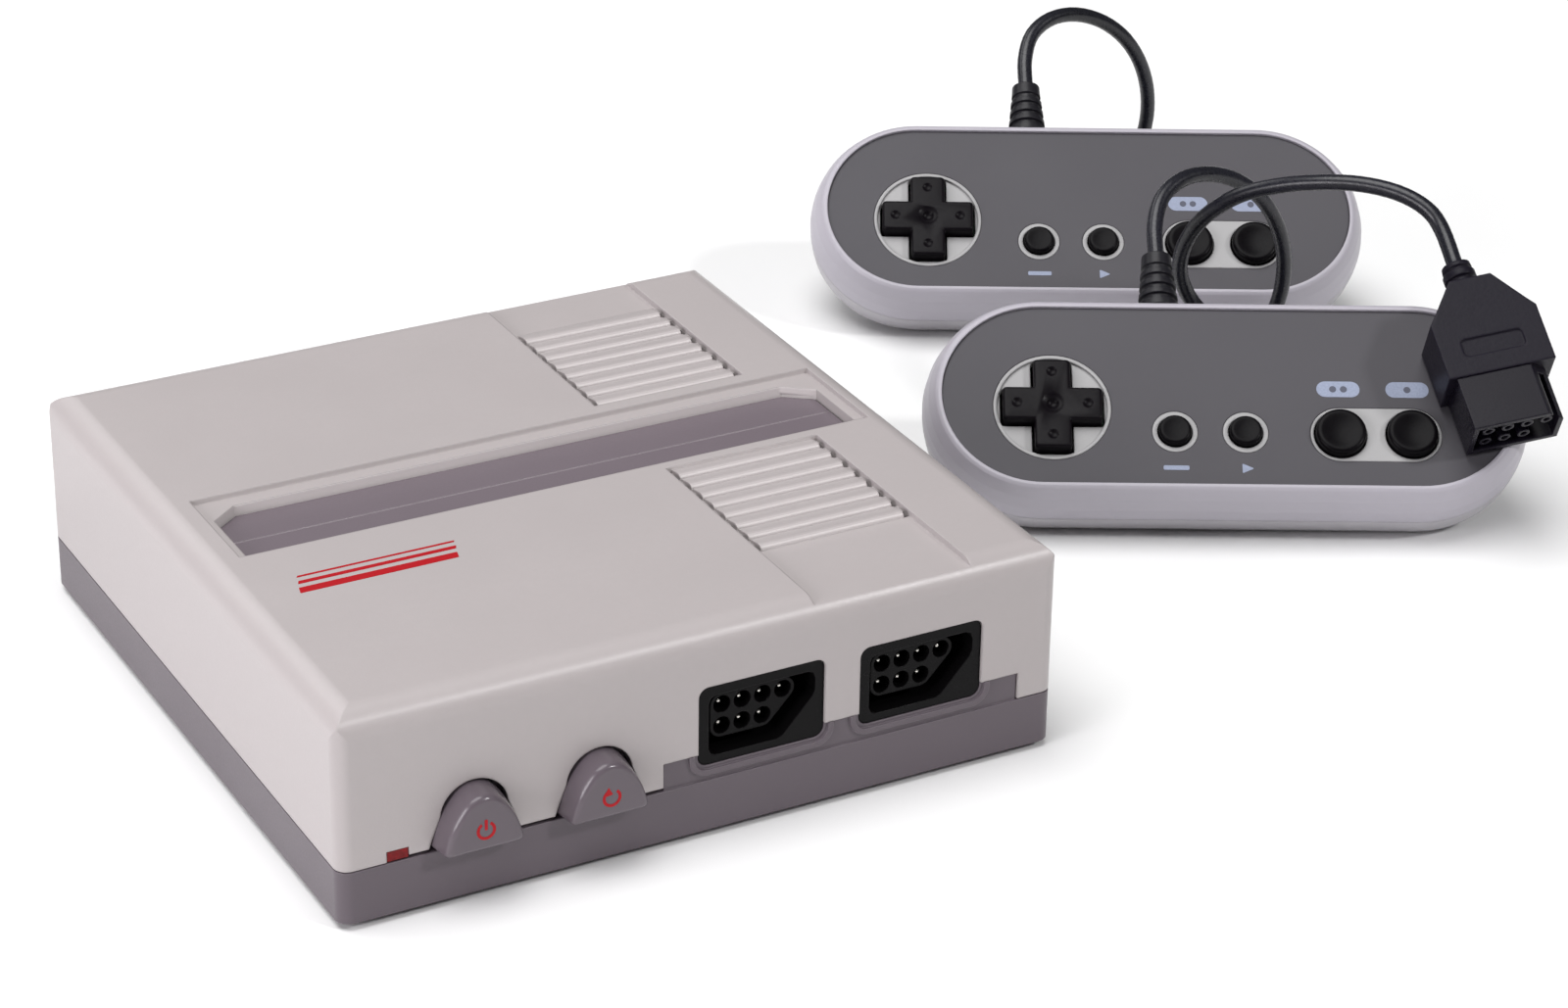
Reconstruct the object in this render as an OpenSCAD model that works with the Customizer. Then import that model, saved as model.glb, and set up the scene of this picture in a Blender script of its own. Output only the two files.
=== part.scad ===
/* [Console casing] */
// Width of the console, left to right
con_w = 142; // [140:0.5:150]
// Depth of the console, front to back
con_d = 142; // [140:0.5:146]
// Height of the casing above its underside
con_h = 40.5; // [39:0.5:46]
// Height of the joint line between base and top shell
seam_h = 10.4; // [10.4:0.1:10.6]
// Wall thickness of both casing shells
wall = 2.4; // [2:0.1:2.6]
// Radius of the rounded top edges
edge_r = 5; // [4:0.5:5.5]
// Radius of the upright edges
side_r = 2.6; // [2:0.1:3]
// How far the rubber feet stand out below the base
foot_h = 1.2; // [0.8:0.1:2]

/* [Cartridge slot] */
// Left end of the slot opening
slot_x0 = 9.9; // [9.8:0.1:10.4]
// Right end of the slot opening
slot_x1 = 134.8; // [134:0.1:135]
// Front edge of the slot opening
slot_y0 = 61.6; // [61.5:0.1:61.8]
// Back edge of the slot opening
slot_y1 = 82.8; // [82.7:0.1:83]
// Depth of the stepped ledge round the slot
ledge_d = 1.0; // [0.6:0.1:1.2]
// Thickness of the dust flap
flap_t = 1.8; // [1.4:0.1:1.8]

/* [Louvre channel] */
// Left wall of the sunken channel
chan_x0 = 92.1; // [90:0.5:94]
// Right wall of the sunken channel
chan_x1 = 124.2; // [122:0.5:126]
// Depth of the channel
chan_d = 1.2; // [0.8:0.1:1.4]
// Number of louvres in each group
louvres = 8; // [4:1:8]
// Spacing of the louvres
louvre_p = 4.55; // [4:0.05:4.6]

/* [Buttons and ports] */
// How far the power and reset buttons stand out
btn_out = 4.8; // [4:0.2:5.4]
// Width of the power and reset buttons
btn_w = 16.7; // [16.3:0.1:17]
// Centre of the power button, from the left
power_x = 25.3; // [25:0.1:26]
// Centre of the reset button, from the left
reset_x = 49.2; // [49:0.1:50]
// Width of a controller port plate
port_w = 25.4; // [25:0.1:25.6]
// Height of a controller port plate
port_h = 16; // [15.6:0.1:16.2]
// Spacing of the port contacts
pin_p = 4.06; // [4:0.02:4.1]

/* [Controllers] */
// Length of a controller
pad_l = 124; // [122:1:130]
// Width of a controller
pad_w = 47.8; // [47:0.2:48.6]
// Thickness of a controller
pad_t = 16.8; // [16.8]
// Angle at which a controller leans on its coiled cord
pad_tilt = 36; // [35:0.5:37]
// Turn of the controllers about the vertical
pad_yaw = -28; // [-32:1:-24]
// Diameter of the controller cord
cord_d = 3.4; // [3:0.1:3.6]

/* [Hidden] */
$fn = 48;

// where the console's front left corner stands from the middle of the whole set
set_x = -154.7;
set_y = -100.5;
// where each controller's lower front edge stands, from the console's front left corner
pads_at = [[219, 57], [245, 152]];

shell_col = [0.79, 0.77, 0.77];
base_col = [0.47, 0.43, 0.46];
black_col = [0.09, 0.09, 0.1];
plate_col = [0.39, 0.39, 0.41];
pad_col = [0.72, 0.70, 0.74];
metal_col = [0.75, 0.74, 0.7];
board_col = [0.12, 0.36, 0.2];

// ---------- plain helpers ----------
module rr(x0, y0, x1, y1, r) {
    translate([x0 + r, y0]) square([x1 - x0 - 2 * r, y1 - y0]);
    translate([x0, y0 + r]) square([x1 - x0, y1 - y0 - 2 * r]);
    for (x = [x0 + r, x1 - r]) for (y = [y0 + r, y1 - r]) translate([x, y]) circle(r = r);
}
module rbox(x0, y0, z0, x1, y1, z1, r) { translate([0, 0, z0]) linear_extrude(z1 - z0) rr(x0, y0, x1, y1, r); }
module bx(x0, y0, z0, x1, y1, z1) { translate([x0, y0, z0]) cube([x1 - x0, y1 - y0, z1 - z0]); }
// a prism along +Y whose outline is drawn in X and Z
module yex(y0, y1) { translate([0, y1, 0]) rotate([90, 0, 0]) linear_extrude(y1 - y0) children(); }
// a round rod along +Y
module yrod(x, z, r, y0, y1) { translate([x, y0, z]) rotate([-90, 0, 0]) cylinder(r = r, h = y1 - y0); }
module con() { translate([set_x, set_y, foot_h]) children(); }

// ---------- console: shared places ----------
screw_at = [[8.5, 25], [con_w - 8.5, 25], [8.5, con_d - 9], [con_w - 8.5, con_d - 9]];
board_at = [[20, 34], [con_w - 20, 34], [20, con_d - 26], [con_w - 20, con_d - 26]];
foot_at = [[18, 18], [con_w - 18, 18], [18, con_d - 18], [con_w - 18, con_d - 18]];
board_z = 4.6;
board_t = 1.6;
btn_top = 22.2;
btn_z = 12.8;
port_z = 13.0;
port_at = [68.5, 100.9];
pin_y = 60.6;
pin_z = 33.9;
jack_at = [34, 50];
jack_z = 18;
dc_x = 72;
plate_z = con_h - wall;

// arch of a front button: round top on slightly spread sides
module arch(w, top, low, c) {
    r = 6.1 + c;
    zc = top + c - r;
    d = norm([w / 2 + c, low - zc]);
    t = atan2(low - zc, w / 2 + c) + acos(r / d);
    q = r - 0.2;
    intersection() {
        translate([0, zc]) circle(r = r);
        translate([-w, low]) square([2 * w, 40]);
    }
    polygon([[-w / 2 - c, low], [w / 2 + c, low], [q * cos(t), zc + q * sin(t)], [-q * cos(t), zc + q * sin(t)]]);
}
// slot opening with its two back corners cut off; g shrinks it
module slot_outline(g) {
    polygon([[slot_x0 + g, slot_y0 + g], [slot_x1 - g, slot_y0 + g], [slot_x1 - g, slot_y1 - 4.2 - g * 0.6],
        [slot_x1 - 5.8 - g * 0.6, slot_y1 - g], [slot_x0 + 5.4 + g * 0.6, slot_y1 - g], [slot_x0 + g, slot_y1 - 4.2 - g * 0.6]]);
}
function rear_l(i) = 90.4 + louvre_p * i;
function front_l(i) = 23.7 + louvre_p * i;

// outline whose two upper corners are rounded
module roof(w, r) {
    translate([0, seam_h]) square([w, con_h - r - seam_h]);
    translate([r, seam_h]) square([w - 2 * r, con_h - seam_h]);
    for (x = [r, w - r]) translate([x, con_h - r]) circle(r = r);
}
module outer_form() intersection() {
    rbox(0, 0, seam_h, con_w, con_d, con_h, side_r);
    yex(-1, con_d + 1) roof(con_w, edge_r);
    translate([-1, 0, 0]) rotate([90, 0, 90]) linear_extrude(con_w + 2) roof(con_d, edge_r - 0.2);
}
module louvre(y) {
    t = con_h - chan_d;
    e = y + louvre_p - 0.35;
    translate([chan_x0 + 1.2, 0, 0]) rotate([90, 0, 90]) linear_extrude(chan_x1 - chan_x0 - 2.4)
        polygon([[y + 0.05, t - 0.3], [y + 0.05, t + 0.2], [y + 0.15, t + 0.5], [y + 0.4, t + 0.82], [y + 0.75, t + 1.02], [y + 1.15, t + 1.08],
            [y + 1.6, t + 1.02], [e, t + 0.45], [e, t - 0.3]]);
}
module top_shell() con() color(shell_col) {
    difference() {
        union() {
            difference() {
                outer_form();
                rbox(wall, wall, seam_h - 1, con_w - wall, con_d - wall, plate_z, 3);
                // sunken channel, behind and in front of the slot
                bx(chan_x0, 89.3, con_h - chan_d, chan_x1, con_d + 1, con_h + 1);
                bx(chan_x0, -1, con_h - chan_d, chan_x1, 59.2, con_h + 1);
                // stepped ledge
                bx(slot_x0 - 1.8, slot_y0, con_h - ledge_d, slot_x1 + 2, 86.2, con_h + 1);
            }
            for (i = [0:louvres - 1]) { louvre(rear_l(i)); louvre(front_l(i)); }
            // skirt round the back and ends of the slot, which also carries the hinge pin
            bx(slot_x0 - 1.7, 57.6, 29.6, slot_x0, slot_y1 + 1.6, plate_z + 0.1);
            bx(slot_x1, 57.6, 29.6, slot_x1 + 1.7, slot_y1 + 1.6, plate_z + 0.1);
            bx(slot_x0 - 1.7, slot_y1, 33, slot_x1 + 1.7, slot_y1 + 1.6, plate_z + 0.1);
            for (s = [0, 1]) translate([s ? slot_x1 : slot_x0, 0, 33]) mirror([s, 0, 0])
                linear_extrude(plate_z + 0.1 - 33) polygon([[-0.5, slot_y1 - 4.2], [0, slot_y1 - 4.2], [5.5, slot_y1], [5.5, slot_y1 + 0.5], [-0.5, slot_y1 + 0.5]]);
            // screw posts
            for (p = screw_at) translate([p[0], p[1], seam_h]) cylinder(r = 4, h = plate_z - seam_h + 0.1);
        }
        translate([0, 0, 28]) linear_extrude(20) slot_outline(0);
        translate([slot_x0 - 3, pin_y, pin_z]) rotate([0, 90, 0]) cylinder(r = 1.02, h = slot_x1 - slot_x0 + 6);
        for (p = screw_at) translate([p[0], p[1], seam_h - 1]) cylinder(r = 1.52, h = 13);
        // vent holes at both ends of every louvre
        for (i = [0:louvres - 1]) for (y = [rear_l(i), front_l(i)]) for (x = [chan_x0 + 0.05, chan_x1 - 1.15])
            bx(x, y + 0.1, plate_z - 1, x + 1.1, y + 2.3, con_h - chan_d + 0.1);
        // front wall: button arches, lamp window, ports and the base's raised rail
        yex(-1, wall + 1) {
            for (x = [power_x, reset_x]) translate([x, 0]) {
                arch(btn_w, btn_top, seam_h + 0.25, 0.35);
                translate([-btn_w / 2 - 0.35, seam_h - 1]) square([btn_w + 0.7, 1.3]);
            }
            translate([8.8, seam_h - 1]) square([4.2, 3.1]);
            translate([12.9, seam_h - 1]) square([48.8, 1.5]);
            translate([61.6, seam_h - 1]) square([72.6, 6.3]);
            for (x = port_at) rr(x, port_z, x + port_w, port_z + port_h, 2);
        }
        // back wall: sockets
        yex(con_d - wall - 1, con_d + 1) {
            for (x = jack_at) translate([x, jack_z]) circle(r = 5.3);
            rr(dc_x - 5.2, 10, dc_x + 5.2, 24.2, 1);
        }
    }
}
module base_shell() con() color(base_col) {
    difference() {
        union() {
            difference() {
                rbox(0, 0, 0, con_w, con_d, seam_h - 0.25, side_r);
                rbox(wall, wall, wall, con_w - wall, con_d - wall, seam_h + 1, 3);
            }
            // raised rail in front, with a seat for each port
            bx(61.8, 0.4, seam_h - 0.6, 134, wall, 15.6);
            yex(-0.1, 0.6) intersection() {
                for (x = port_at) difference() {
                    rr(x - 1.8, port_z - 1.8, x + port_w + 1.8, port_z + 20, 3.6);
                    rr(x - 0.7, port_z - 0.7, x + port_w + 0.7, port_z + 30, 2.6);
                }
                square([con_w, 15.6]);
            }
            for (p = screw_at) translate([p[0], p[1], 0.5]) cylinder(r = 4.6, h = seam_h - 0.75);
            for (p = board_at) translate([p[0], p[1], 1]) cylinder(r = 3, h = board_z - 1);
            // guide wall for the two button stems
            bx(16, 11.6, 1, 60, 13, 17);
            for (p = foot_at) translate([p[0], p[1], 1]) cylinder(r = 6.2, h = 2.4);
        }
        yex(-1, wall + 1) for (x = port_at) rr(x, port_z, x + port_w, port_z + port_h, 2);
        for (x = [power_x, reset_x]) yrod(x, btn_z, 2.3, 11, 14);
        for (p = screw_at) translate([p[0], p[1], -1]) { cylinder(r = 3.1, h = 6); cylinder(r = 1.7, h = 20); }
        for (p = board_at) translate([p[0], p[1], 2.2]) cylinder(r = 1.12, h = 8);
        for (p = foot_at) translate([p[0], p[1], -1]) cylinder(r = 5.02, h = 1.8);
        for (i = [0:5]) bx(46, 92 + 4 * i, -1, 96, 93.6 + 4 * i, 4);
    }
}
module slot_flap() con() color(base_col) {
    z0 = pin_z + 1.8;
    difference() {
        union() {
            intersection() {
                translate([0, 0, z0]) linear_extrude(flap_t) slot_outline(0.35);
                bx(0, slot_y0 + 0.3, 0, con_w, slot_y1 - 0.45, 60);
            }
            for (x = [10.4, 66, 122.3]) {
                translate([x, pin_y, pin_z]) rotate([0, 90, 0]) cylinder(r = 2, h = 12);
                bx(x, pin_y, pin_z + 0.6, x + 12, pin_y + 4, z0 + 0.2);
            }
            for (x = [30, 50, 90, 110]) bx(x, slot_y0 + 4, z0 - 0.8, x + 1, slot_y1 - 4, z0 + 0.1);
        }
        translate([slot_x0 - 3, pin_y, pin_z]) rotate([0, 90, 0]) cylinder(r = 1.06, h = 140);
        // fine line scored along the flap
        bx(0, slot_y0 + 10.7, z0 + flap_t - 0.15, con_w, slot_y0 + 10.7 + 0.3, z0 + flap_t + 1);
    }
}
module flap_hinge_pin() con() color(metal_col)
    translate([slot_x0 - 1.6, pin_y, pin_z]) rotate([0, 90, 0]) cylinder(r = 1, h = slot_x1 - slot_x0 + 3.2);
module flap_spring() con() color(metal_col)
    sweep(concat([[79, pin_y + 3.8, pin_z + 1.38]], [for (i = [0:52]) let (a = 30.19 * i - 40) [79 + 0.095 * i, pin_y - 1.38 * sin(a), pin_z - 1.38 * cos(a)]],
        [[84, pin_y - 1.42, pin_z + 1.6], [84.05, pin_y - 1.45, pin_z + 3.85]]), 0.3, 6);

module front_button(x) {
    difference() {
        union() {
            yex(-btn_out, 4) translate([x, 0]) arch(btn_w, btn_top, seam_h + 0.25, 0);
            yex(2.75, 4) translate([x, 0]) arch(btn_w, btn_top, seam_h + 0.25, 0.8);
        }
        yex(-btn_out + 1.6, 2.4) translate([x, 0]) arch(btn_w, btn_top, seam_h + 1.8, -1.6);
        yex(2.3, 5) translate([x, 0]) arch(btn_w, btn_top, seam_h - 1, -2.4);
    }
    yrod(x, btn_z, 2, -btn_out + 1.5, 17.6);
    yrod(x, btn_z, 3.2, 2.9, 4.1);
}
module power_button() con() color(base_col) front_button(power_x);
module reset_button() con() color(base_col) front_button(reset_x);

// an open coil spring along +Y, as one swept wire
function ring_pts(c, u, v, r, n) = [for (k = [0:n - 1]) c + r * (cos(360 * k / n) * u + sin(360 * k / n) * v)];
function vunit(a) = a / norm(a);
module sweep(path, r, n) {
    m = len(path);
    tan = [for (i = [0:m - 1]) vunit(path[min(i + 1, m - 1)] - path[max(i - 1, 0)])];
    // each ring is turned from a fixed side direction, so the wire doesn't twist
    side = [for (i = [0:m - 1]) let (a = abs(tan[i][2]) < 0.93 ? [0, 0, 1] : [0, 1, 0]) vunit(cross(tan[i], a))];
    fixed = keep_side(tan, side, 0, side[0], []);
    pts = [for (i = [0:m - 1]) let (u = fixed[i], v = cross(tan[i], u)) each ring_pts(path[i], u, v, r, n)];
    faces = concat([[for (k = [n - 1:-1:0]) k]], [[for (k = [0:n - 1]) (m - 1) * n + k]],
        [for (i = [0:m - 2]) for (k = [0:n - 1]) [i * n + k, i * n + (k + 1) % n, (i + 1) * n + (k + 1) % n]],
        [for (i = [0:m - 2]) for (k = [0:n - 1]) [i * n + k, (i + 1) * n + (k + 1) % n, (i + 1) * n + k]]);
    polyhedron(pts, [for (f = faces) [for (k = [len(f) - 1:-1:0]) f[k]]]);
}
// carry the side direction from ring to ring
function keep_side(tan, side, i, last, out) = i >= len(tan) ? out :
    let (p = last - (last * tan[i]) * tan[i], s = norm(p) > 0.01 ? vunit(p) : side[i]) keep_side(tan, side, i + 1, s, concat(out, [s]));
module coil_spring(x, z, r, y0, y1, turns, wire) {
    k = turns * 12;
    translate([x, 0, z]) sweep([for (i = [0:k]) [r * cos(30 * i), y0 + (y1 - y0) * i / k, r * sin(30 * i)]], wire, 6);
}
module power_spring() con() color(metal_col) coil_spring(power_x, btn_z, 2.75, 4.5, 11.1, 5, 0.32);
module reset_spring() con() color(metal_col) coil_spring(reset_x, btn_z, 2.75, 4.5, 11.1, 5, 0.32);
module push_switch(x) {
    difference() {
        bx(x - 4.2, 19, board_z + board_t, x + 4.2, 31, 17.4);
        yrod(x, btn_z, 2.4, 18, 27);
    }
    for (i = [-1, 0, 1]) bx(x + 2.5 * i - 0.3, 24, board_z - 0.6, x + 2.5 * i + 0.3, 24.4, board_z + board_t + 0.1);
}
module power_switch() con() color("white") push_switch(power_x);
module reset_switch() con() color("dimgray") push_switch(reset_x);
module led_lens() con() color([0.6, 0.08, 0.1]) {
    bx(8.9, 0.15, seam_h + 0.02, 12.9, 3, 12.4);
    bx(8.2, wall + 0.05, seam_h + 0.1, 13.6, 3.4, 13.4);
}
module led() con() color([0.8, 0.2, 0.2]) {
    yrod(10.9, 12.4, 1.5, 3.6, 7.6);
    yrod(10.9, 12.4, 1.9, 7.5, 8.5);
    for (s = [-1, 1]) { yrod(10.9 + 1.27 * s, 12.4, 0.25, 8.4, 18.2); translate([10.9 + 1.27 * s, 18, board_z - 0.6]) cylinder(r = 0.25, h = 12.6 - board_z + 0.6, $fn = 16); }
}

// contact places of a port, from its plate's lower left corner
holes = concat([for (i = [0:3]) [5.7 + pin_p * i, 10.6]], [for (i = [0:2]) [5.7 + pin_p * i, 6.3]]);
module recess_outline() {
    x0 = 2.3; x1 = port_w - 1.8; z0 = 1.6; z1 = port_h - 2.3;
    polygon([[x0, z0 + 1.5], [x0 + 0.45, z0 + 0.45], [x0 + 1.5, z0], [x1 - 7.6, z0], [x1 - 6.4, z0 + 0.5], [x1 - 0.4, z1 - 5.0],
        [x1, z1 - 4.0], [x1, z1 - 1.5], [x1 - 0.45, z1 - 0.45], [x1 - 1.5, z1], [x0 + 1.5, z1], [x0 + 0.45, z1 - 0.45], [x0, z1 - 1.5]]);
}
module port_socket(x0) translate([x0, 0, port_z]) {
    difference() {
        union() {
            yex(0.6, 3) rr(0.08, 0.08, port_w - 0.08, port_h - 0.08, 2);
            yex(2.9, 14) rr(1, 0.4, port_w - 0.6, port_h - 1, 1.5);
        }
        yex(-1, 12.4) recess_outline();
    }
    difference() {
        yex(2.2, 12.6) hull() for (h = holes) translate(h) circle(r = 2.3, $fn = 32);
        for (h = holes) yrod(h[0], h[1], 1.7, 1, 10.6);
    }
    difference() {
        translate([holes[0][0] - 1, 12.3, 5]) cube([14.5, 1.6, 7]);
        for (h = holes) yrod(h[0], h[1], 0.52, 9, 15);
    }
}
module socket_bored(x0) difference() {
    port_socket(x0);
    for (h = holes) yrod(x0 + h[0], port_z + h[1], 0.52, 9, 15);
}
module port_socket_left() con() color(black_col) socket_bored(port_at[0]);
module port_socket_right() con() color(black_col) socket_bored(port_at[1]);
module port_pins() con() color(metal_col) for (x = port_at) for (h = holes) {
    y = h[1] > 8 ? 20.5 : 17.5;
    yrod(x + h[0], port_z + h[1], 0.5, 4.6, y + 0.5);
    translate([x + h[0] - 0.35, y - 0.35, board_z - 0.6]) cube([0.7, 0.7, port_z + h[1] - board_z + 0.6]);
}
module main_board() con() color(board_col) difference() {
    bx(5, 16, board_z, con_w - 5, con_d - 16, board_z + board_t);
    for (p = board_at) translate([p[0], p[1], 0]) cylinder(r = 1.4, h = 20);
    for (p = screw_at) translate([p[0], p[1], 0]) cylinder(r = 5.2, h = 20);
    for (x = port_at) for (h = holes) translate([x + h[0], h[1] > 8 ? 20.5 : 17.5, 0]) cylinder(r = 0.56, h = 20);
    for (s = [-1, 1]) translate([10.9 + 1.27 * s, 18, 0]) cylinder(r = 0.35, h = 20);
    for (x = [power_x, reset_x]) for (i = [-1, 0, 1]) bx(x + 2.5 * i - 0.4, 23.9, 0, x + 2.5 * i + 0.4, 24.5, 20);
}
module board_components() con() color([0.15, 0.15, 0.17]) {
    z = board_z + board_t;
    bx(30, 94, z, 58, 108, z + 3.6);
    bx(66, 94, z, 94, 108, z + 3.6);
    bx(70, 40, z, 84, 47, z + 3.2);
    translate([100, 112, z]) cylinder(r = 4, h = 12);
    translate([112, 100, z]) cylinder(r = 5, h = 14);
    // voltage regulator bolted to its heat sink
    bx(92, 116, z, 102, 120.5, z + 9);
    bx(88, 120.5, z, 106, 122, z + 18);
    for (i = [0:4]) bx(88 + 4.1 * i, 121.9, z + 4, 89.6 + 4.1 * i, 125, z + 18);
}
module cartridge_connector() con() color([0.13, 0.13, 0.14]) difference() {
    bx(19, 70.6, board_z + board_t, 125, 78.4, 12.3);
    bx(22, 73.4, 7.4, 122, 75.6, 13);
}
module connector_contacts() con() color([0.8, 0.66, 0.3]) for (i = [0:35]) for (s = [-1, 1])
    bx(24 + 2.75 * i - 0.6, 74.5 + s * 0.75 - 0.2, 7.45, 24 + 2.75 * i + 0.6, 74.5 + s * 0.75 + 0.2, 11.8);
module av_jacks() con() color([0.85, 0.7, 0.15]) for (x = jack_at) {
    bx(x - 5, 126.2, board_z + board_t, x + 5, con_d - wall - 0.2, 24);
    bx(x - 4.5, 118, board_z + board_t, x + 4.5, 126.3, 14);
    difference() {
        union() {
            yrod(x, jack_z, 5, con_d - wall - 0.3, con_d + 1.2);
            yrod(x, jack_z, 4.15, con_d, con_d + 9.7);
        }
        yrod(x, jack_z, 1.6, con_d + 0.5, con_d + 12);
    }
}
module dc_jack() con() color(black_col) {
    difference() {
        union() {
            bx(dc_x - 4.5, 126, board_z + board_t, dc_x + 4.5, con_d - wall - 0.2, 23);
            bx(dc_x - 4.5, con_d - wall - 0.3, seam_h + 0.6, dc_x + 4.5, con_d + 0.3, 23);
        }
        yrod(dc_x, 17, 3.15, 130, con_d + 2);
    }
    yrod(dc_x, 17, 1, 129.5, con_d - 1);
}
module case_screws() con() color(metal_col) for (p = screw_at) translate([p[0], p[1], 5]) {
    difference() {
        translate([0, 0, -2]) cylinder(r = 2.7, h = 2);
        bx(-1.7, -0.4, -3, 1.7, 0.4, -1); bx(-0.4, -1.7, -3, 0.4, 1.7, -1);
    }
    cylinder(r = 1.48, h = 16);
}
module board_screws() con() color(metal_col) for (p = board_at) translate([p[0], p[1], board_z + board_t]) {
    difference() {
        cylinder(r = 2.3, h = 1.6);
        bx(-1.4, -0.35, 0.8, 1.4, 0.35, 2); bx(-0.35, -1.4, 0.8, 0.35, 1.4, 2);
    }
    translate([0, 0, -3.6]) cylinder(r = 1.1, h = 3.7);
}
module rubber_feet() con() color([0.2, 0.2, 0.21]) for (p = foot_at) translate([p[0], p[1], -foot_h]) {
    cylinder(r = 5, h = foot_h + 0.78);
}

// ---------- controllers ----------
// half width of the pill-shaped body at each height, from back face to front
pad_prof = [[20.9, 0], [21.9, 0.4], [22.7, 1.2], [23.4, 3], [23.8, 6], [23.9, 8.4], [23.6, 11], [22.8, 14], [22.0, 15.6], [21.5, 16.4], [20.9, 16.8]];
pad_half = pad_l / 2 - pad_w / 2;
part_z = 7.6;
face_z = 16.2;
pad_low = min([for (p = pad_prof) (pad_w / 2 - p[0]) * sin(pad_tilt) + p[1] * cos(pad_tilt)]);
dp = [-36, -2.85];
ba = [36.7, -8.45];
bb = [22.2, -8.45];
sel = [-11.3, -8.2];
sta = [3.0, -8.2];
relief_x = -12.7;
relief_z = 8.4;
relief_l = 13;
pscrew_at = [[-50, 12], [50, 12], [50.5, -10.5], [-54, -10], [0, 14]];

// places a controller: its pill's centre is the local origin, z up out of its face
module pad(i) translate([set_x + pads_at[i][0], set_y + pads_at[i][1], 0.03 - pad_low])
    rotate([0, 0, pad_yaw]) rotate([pad_tilt, 0, 0]) translate([0, pad_w / 2, 0]) children();
// places what lies on the ground beside a controller
module ground(i) translate([set_x + pads_at[i][0], set_y + pads_at[i][1], 0]) rotate([0, 0, pad_yaw]) children();
// a point of a controller, in its ground frame
function lean(p) = [p[0], (p[1] + pad_w / 2) * cos(pad_tilt) - p[2] * sin(pad_tilt),
    (p[1] + pad_w / 2) * sin(pad_tilt) + p[2] * cos(pad_tilt) + 0.03 - pad_low];

// pill-shaped solid from a profile of [half width, height]
module pill(prof) {
    pts = concat([[0, prof[0][1]]], prof, [[0, prof[len(prof) - 1][1]]]);
    full = concat(prof, [for (i = [len(prof) - 1:-1:0]) [-prof[i][0], prof[i][1]]]);
    for (s = [-1, 1]) translate([s * pad_half, 0, 0]) rotate_extrude($fn = 96) polygon(pts);
    translate([-pad_half, 0, 0]) rotate([90, 0, 90]) linear_extrude(2 * pad_half) polygon(full);
}
module slab(r, z0, z1) pill([[r, z0], [r, z1]]);
module cross2d(l, w, r) {
    rr(-l / 2, -w / 2, l / 2, w / 2, r);
    rr(-w / 2, -l / 2, w / 2, l / 2, r);
}
module capsule2d(x0, x1, y, r) { for (x = [x0, x1]) translate([x, y]) circle(r = r); translate([x0, y - r]) square([x1 - x0, 2 * r]); }
// outlines of the light islands that show through the dark plate
module islands(g) {
    translate(dp) circle(r = 11.95 + g);
    for (p = [sel, sta]) translate(p) circle(r = 4.6 + g);
    capsule2d(bb[0], ba[0], ba[1], 6.05 + g);
}
module relief_hole() translate([relief_x, 0, relief_z]) rotate([-90, 0, 0]) cylinder(r = 3.65, h = 40);

module front_shell() color(pad_col) difference() {
    union() {
        difference() {
            intersection() { pill(pad_prof); bx(-80, -40, part_z, 80, 40, 20); }
            slab(20.25, face_z - 0.8, 20);
            pill([[22.1, 0], [22.1, 9], [21.6, 11.5], [21.1, 13.6], [20.8, 13.8]]);
        }
        translate([0, 0, 13.8]) linear_extrude(face_z - 13.8) islands(0);
        for (p = pscrew_at) translate([p[0], p[1], 9.3]) cylinder(r = 2.9, h = 4.7);
        for (p = [ba, bb]) translate([p[0], p[1], 12.9]) cylinder(r = 6.6, h = 1);
    }
    // dished floor round the cross, and the holes for the keys
    translate([dp[0], dp[1], face_z - 0.5]) cylinder(r = 11.2, h = 2);
    translate([dp[0], dp[1], 0]) linear_extrude(30) cross2d(21.2, 8.5, 0.9);
    for (p = [ba, bb]) translate([p[0], p[1], 0]) cylinder(r = 5.45, h = 30);
    for (p = [sel, sta]) translate([p[0], p[1], 0]) cylinder(r = 3.6, h = 30);
    for (p = pscrew_at) translate([p[0], p[1], 5]) cylinder(r = 1.12, h = 8.4);
    relief_hole();
}
module face_plate() color(plate_col) difference() {
    slab(20.15, face_z - 0.8, face_z);
    translate([0, 0, 10]) linear_extrude(10) islands(0.1);
}
module back_shell() color(pad_col) difference() {
    union() {
        difference() {
            intersection() { pill(pad_prof); bx(-80, -40, -1, 80, 40, part_z - 0.06); }
            pill([[21.2, 1.8], [21.8, 3.4], [22.1, 6], [22.1, 20]]);
        }
        for (p = pscrew_at) translate([p[0], p[1], 0.5]) cylinder(r = 3.2, h = 7.2);
    }
    for (p = pscrew_at) translate([p[0], p[1], -1]) { cylinder(r = 2.45, h = 3.5); cylinder(r = 1.3, h = 12); }
    relief_hole();
}
module dpad() color(black_col) translate([dp[0], dp[1], 0]) {
    difference() {
        translate([0, 0, 12.4]) linear_extrude(5.8) cross2d(20.2, 7.5, 0.7);
        translate([0, 0, 22.6]) sphere(r = 5);
    }
    translate([0, 0, 11.9]) cylinder(r = 10.4, h = 0.8);
    translate([0, 0, 10.8]) cylinder(r = 1.5, h = 1.3);
    translate([0, 0, 10.8]) sphere(r = 1.5);
}
module dpad_pad() color([0.3, 0.3, 0.32]) translate([dp[0], dp[1], 10.4]) difference() {
    cylinder(r = 9, h = 0.7);
    translate([0, 0, -1]) cylinder(r = 2.2, h = 3);
}
module key(p, r, top, fr) color(black_col) translate([p[0], p[1], 0]) {
    intersection() {
        translate([0, 0, 11.6]) cylinder(r = r, h = top - 11.6);
        translate([0, 0, top - 16]) sphere(r = 16);
    }
    translate([0, 0, 11.6]) cylinder(r = fr, h = 1.0);
}
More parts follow.
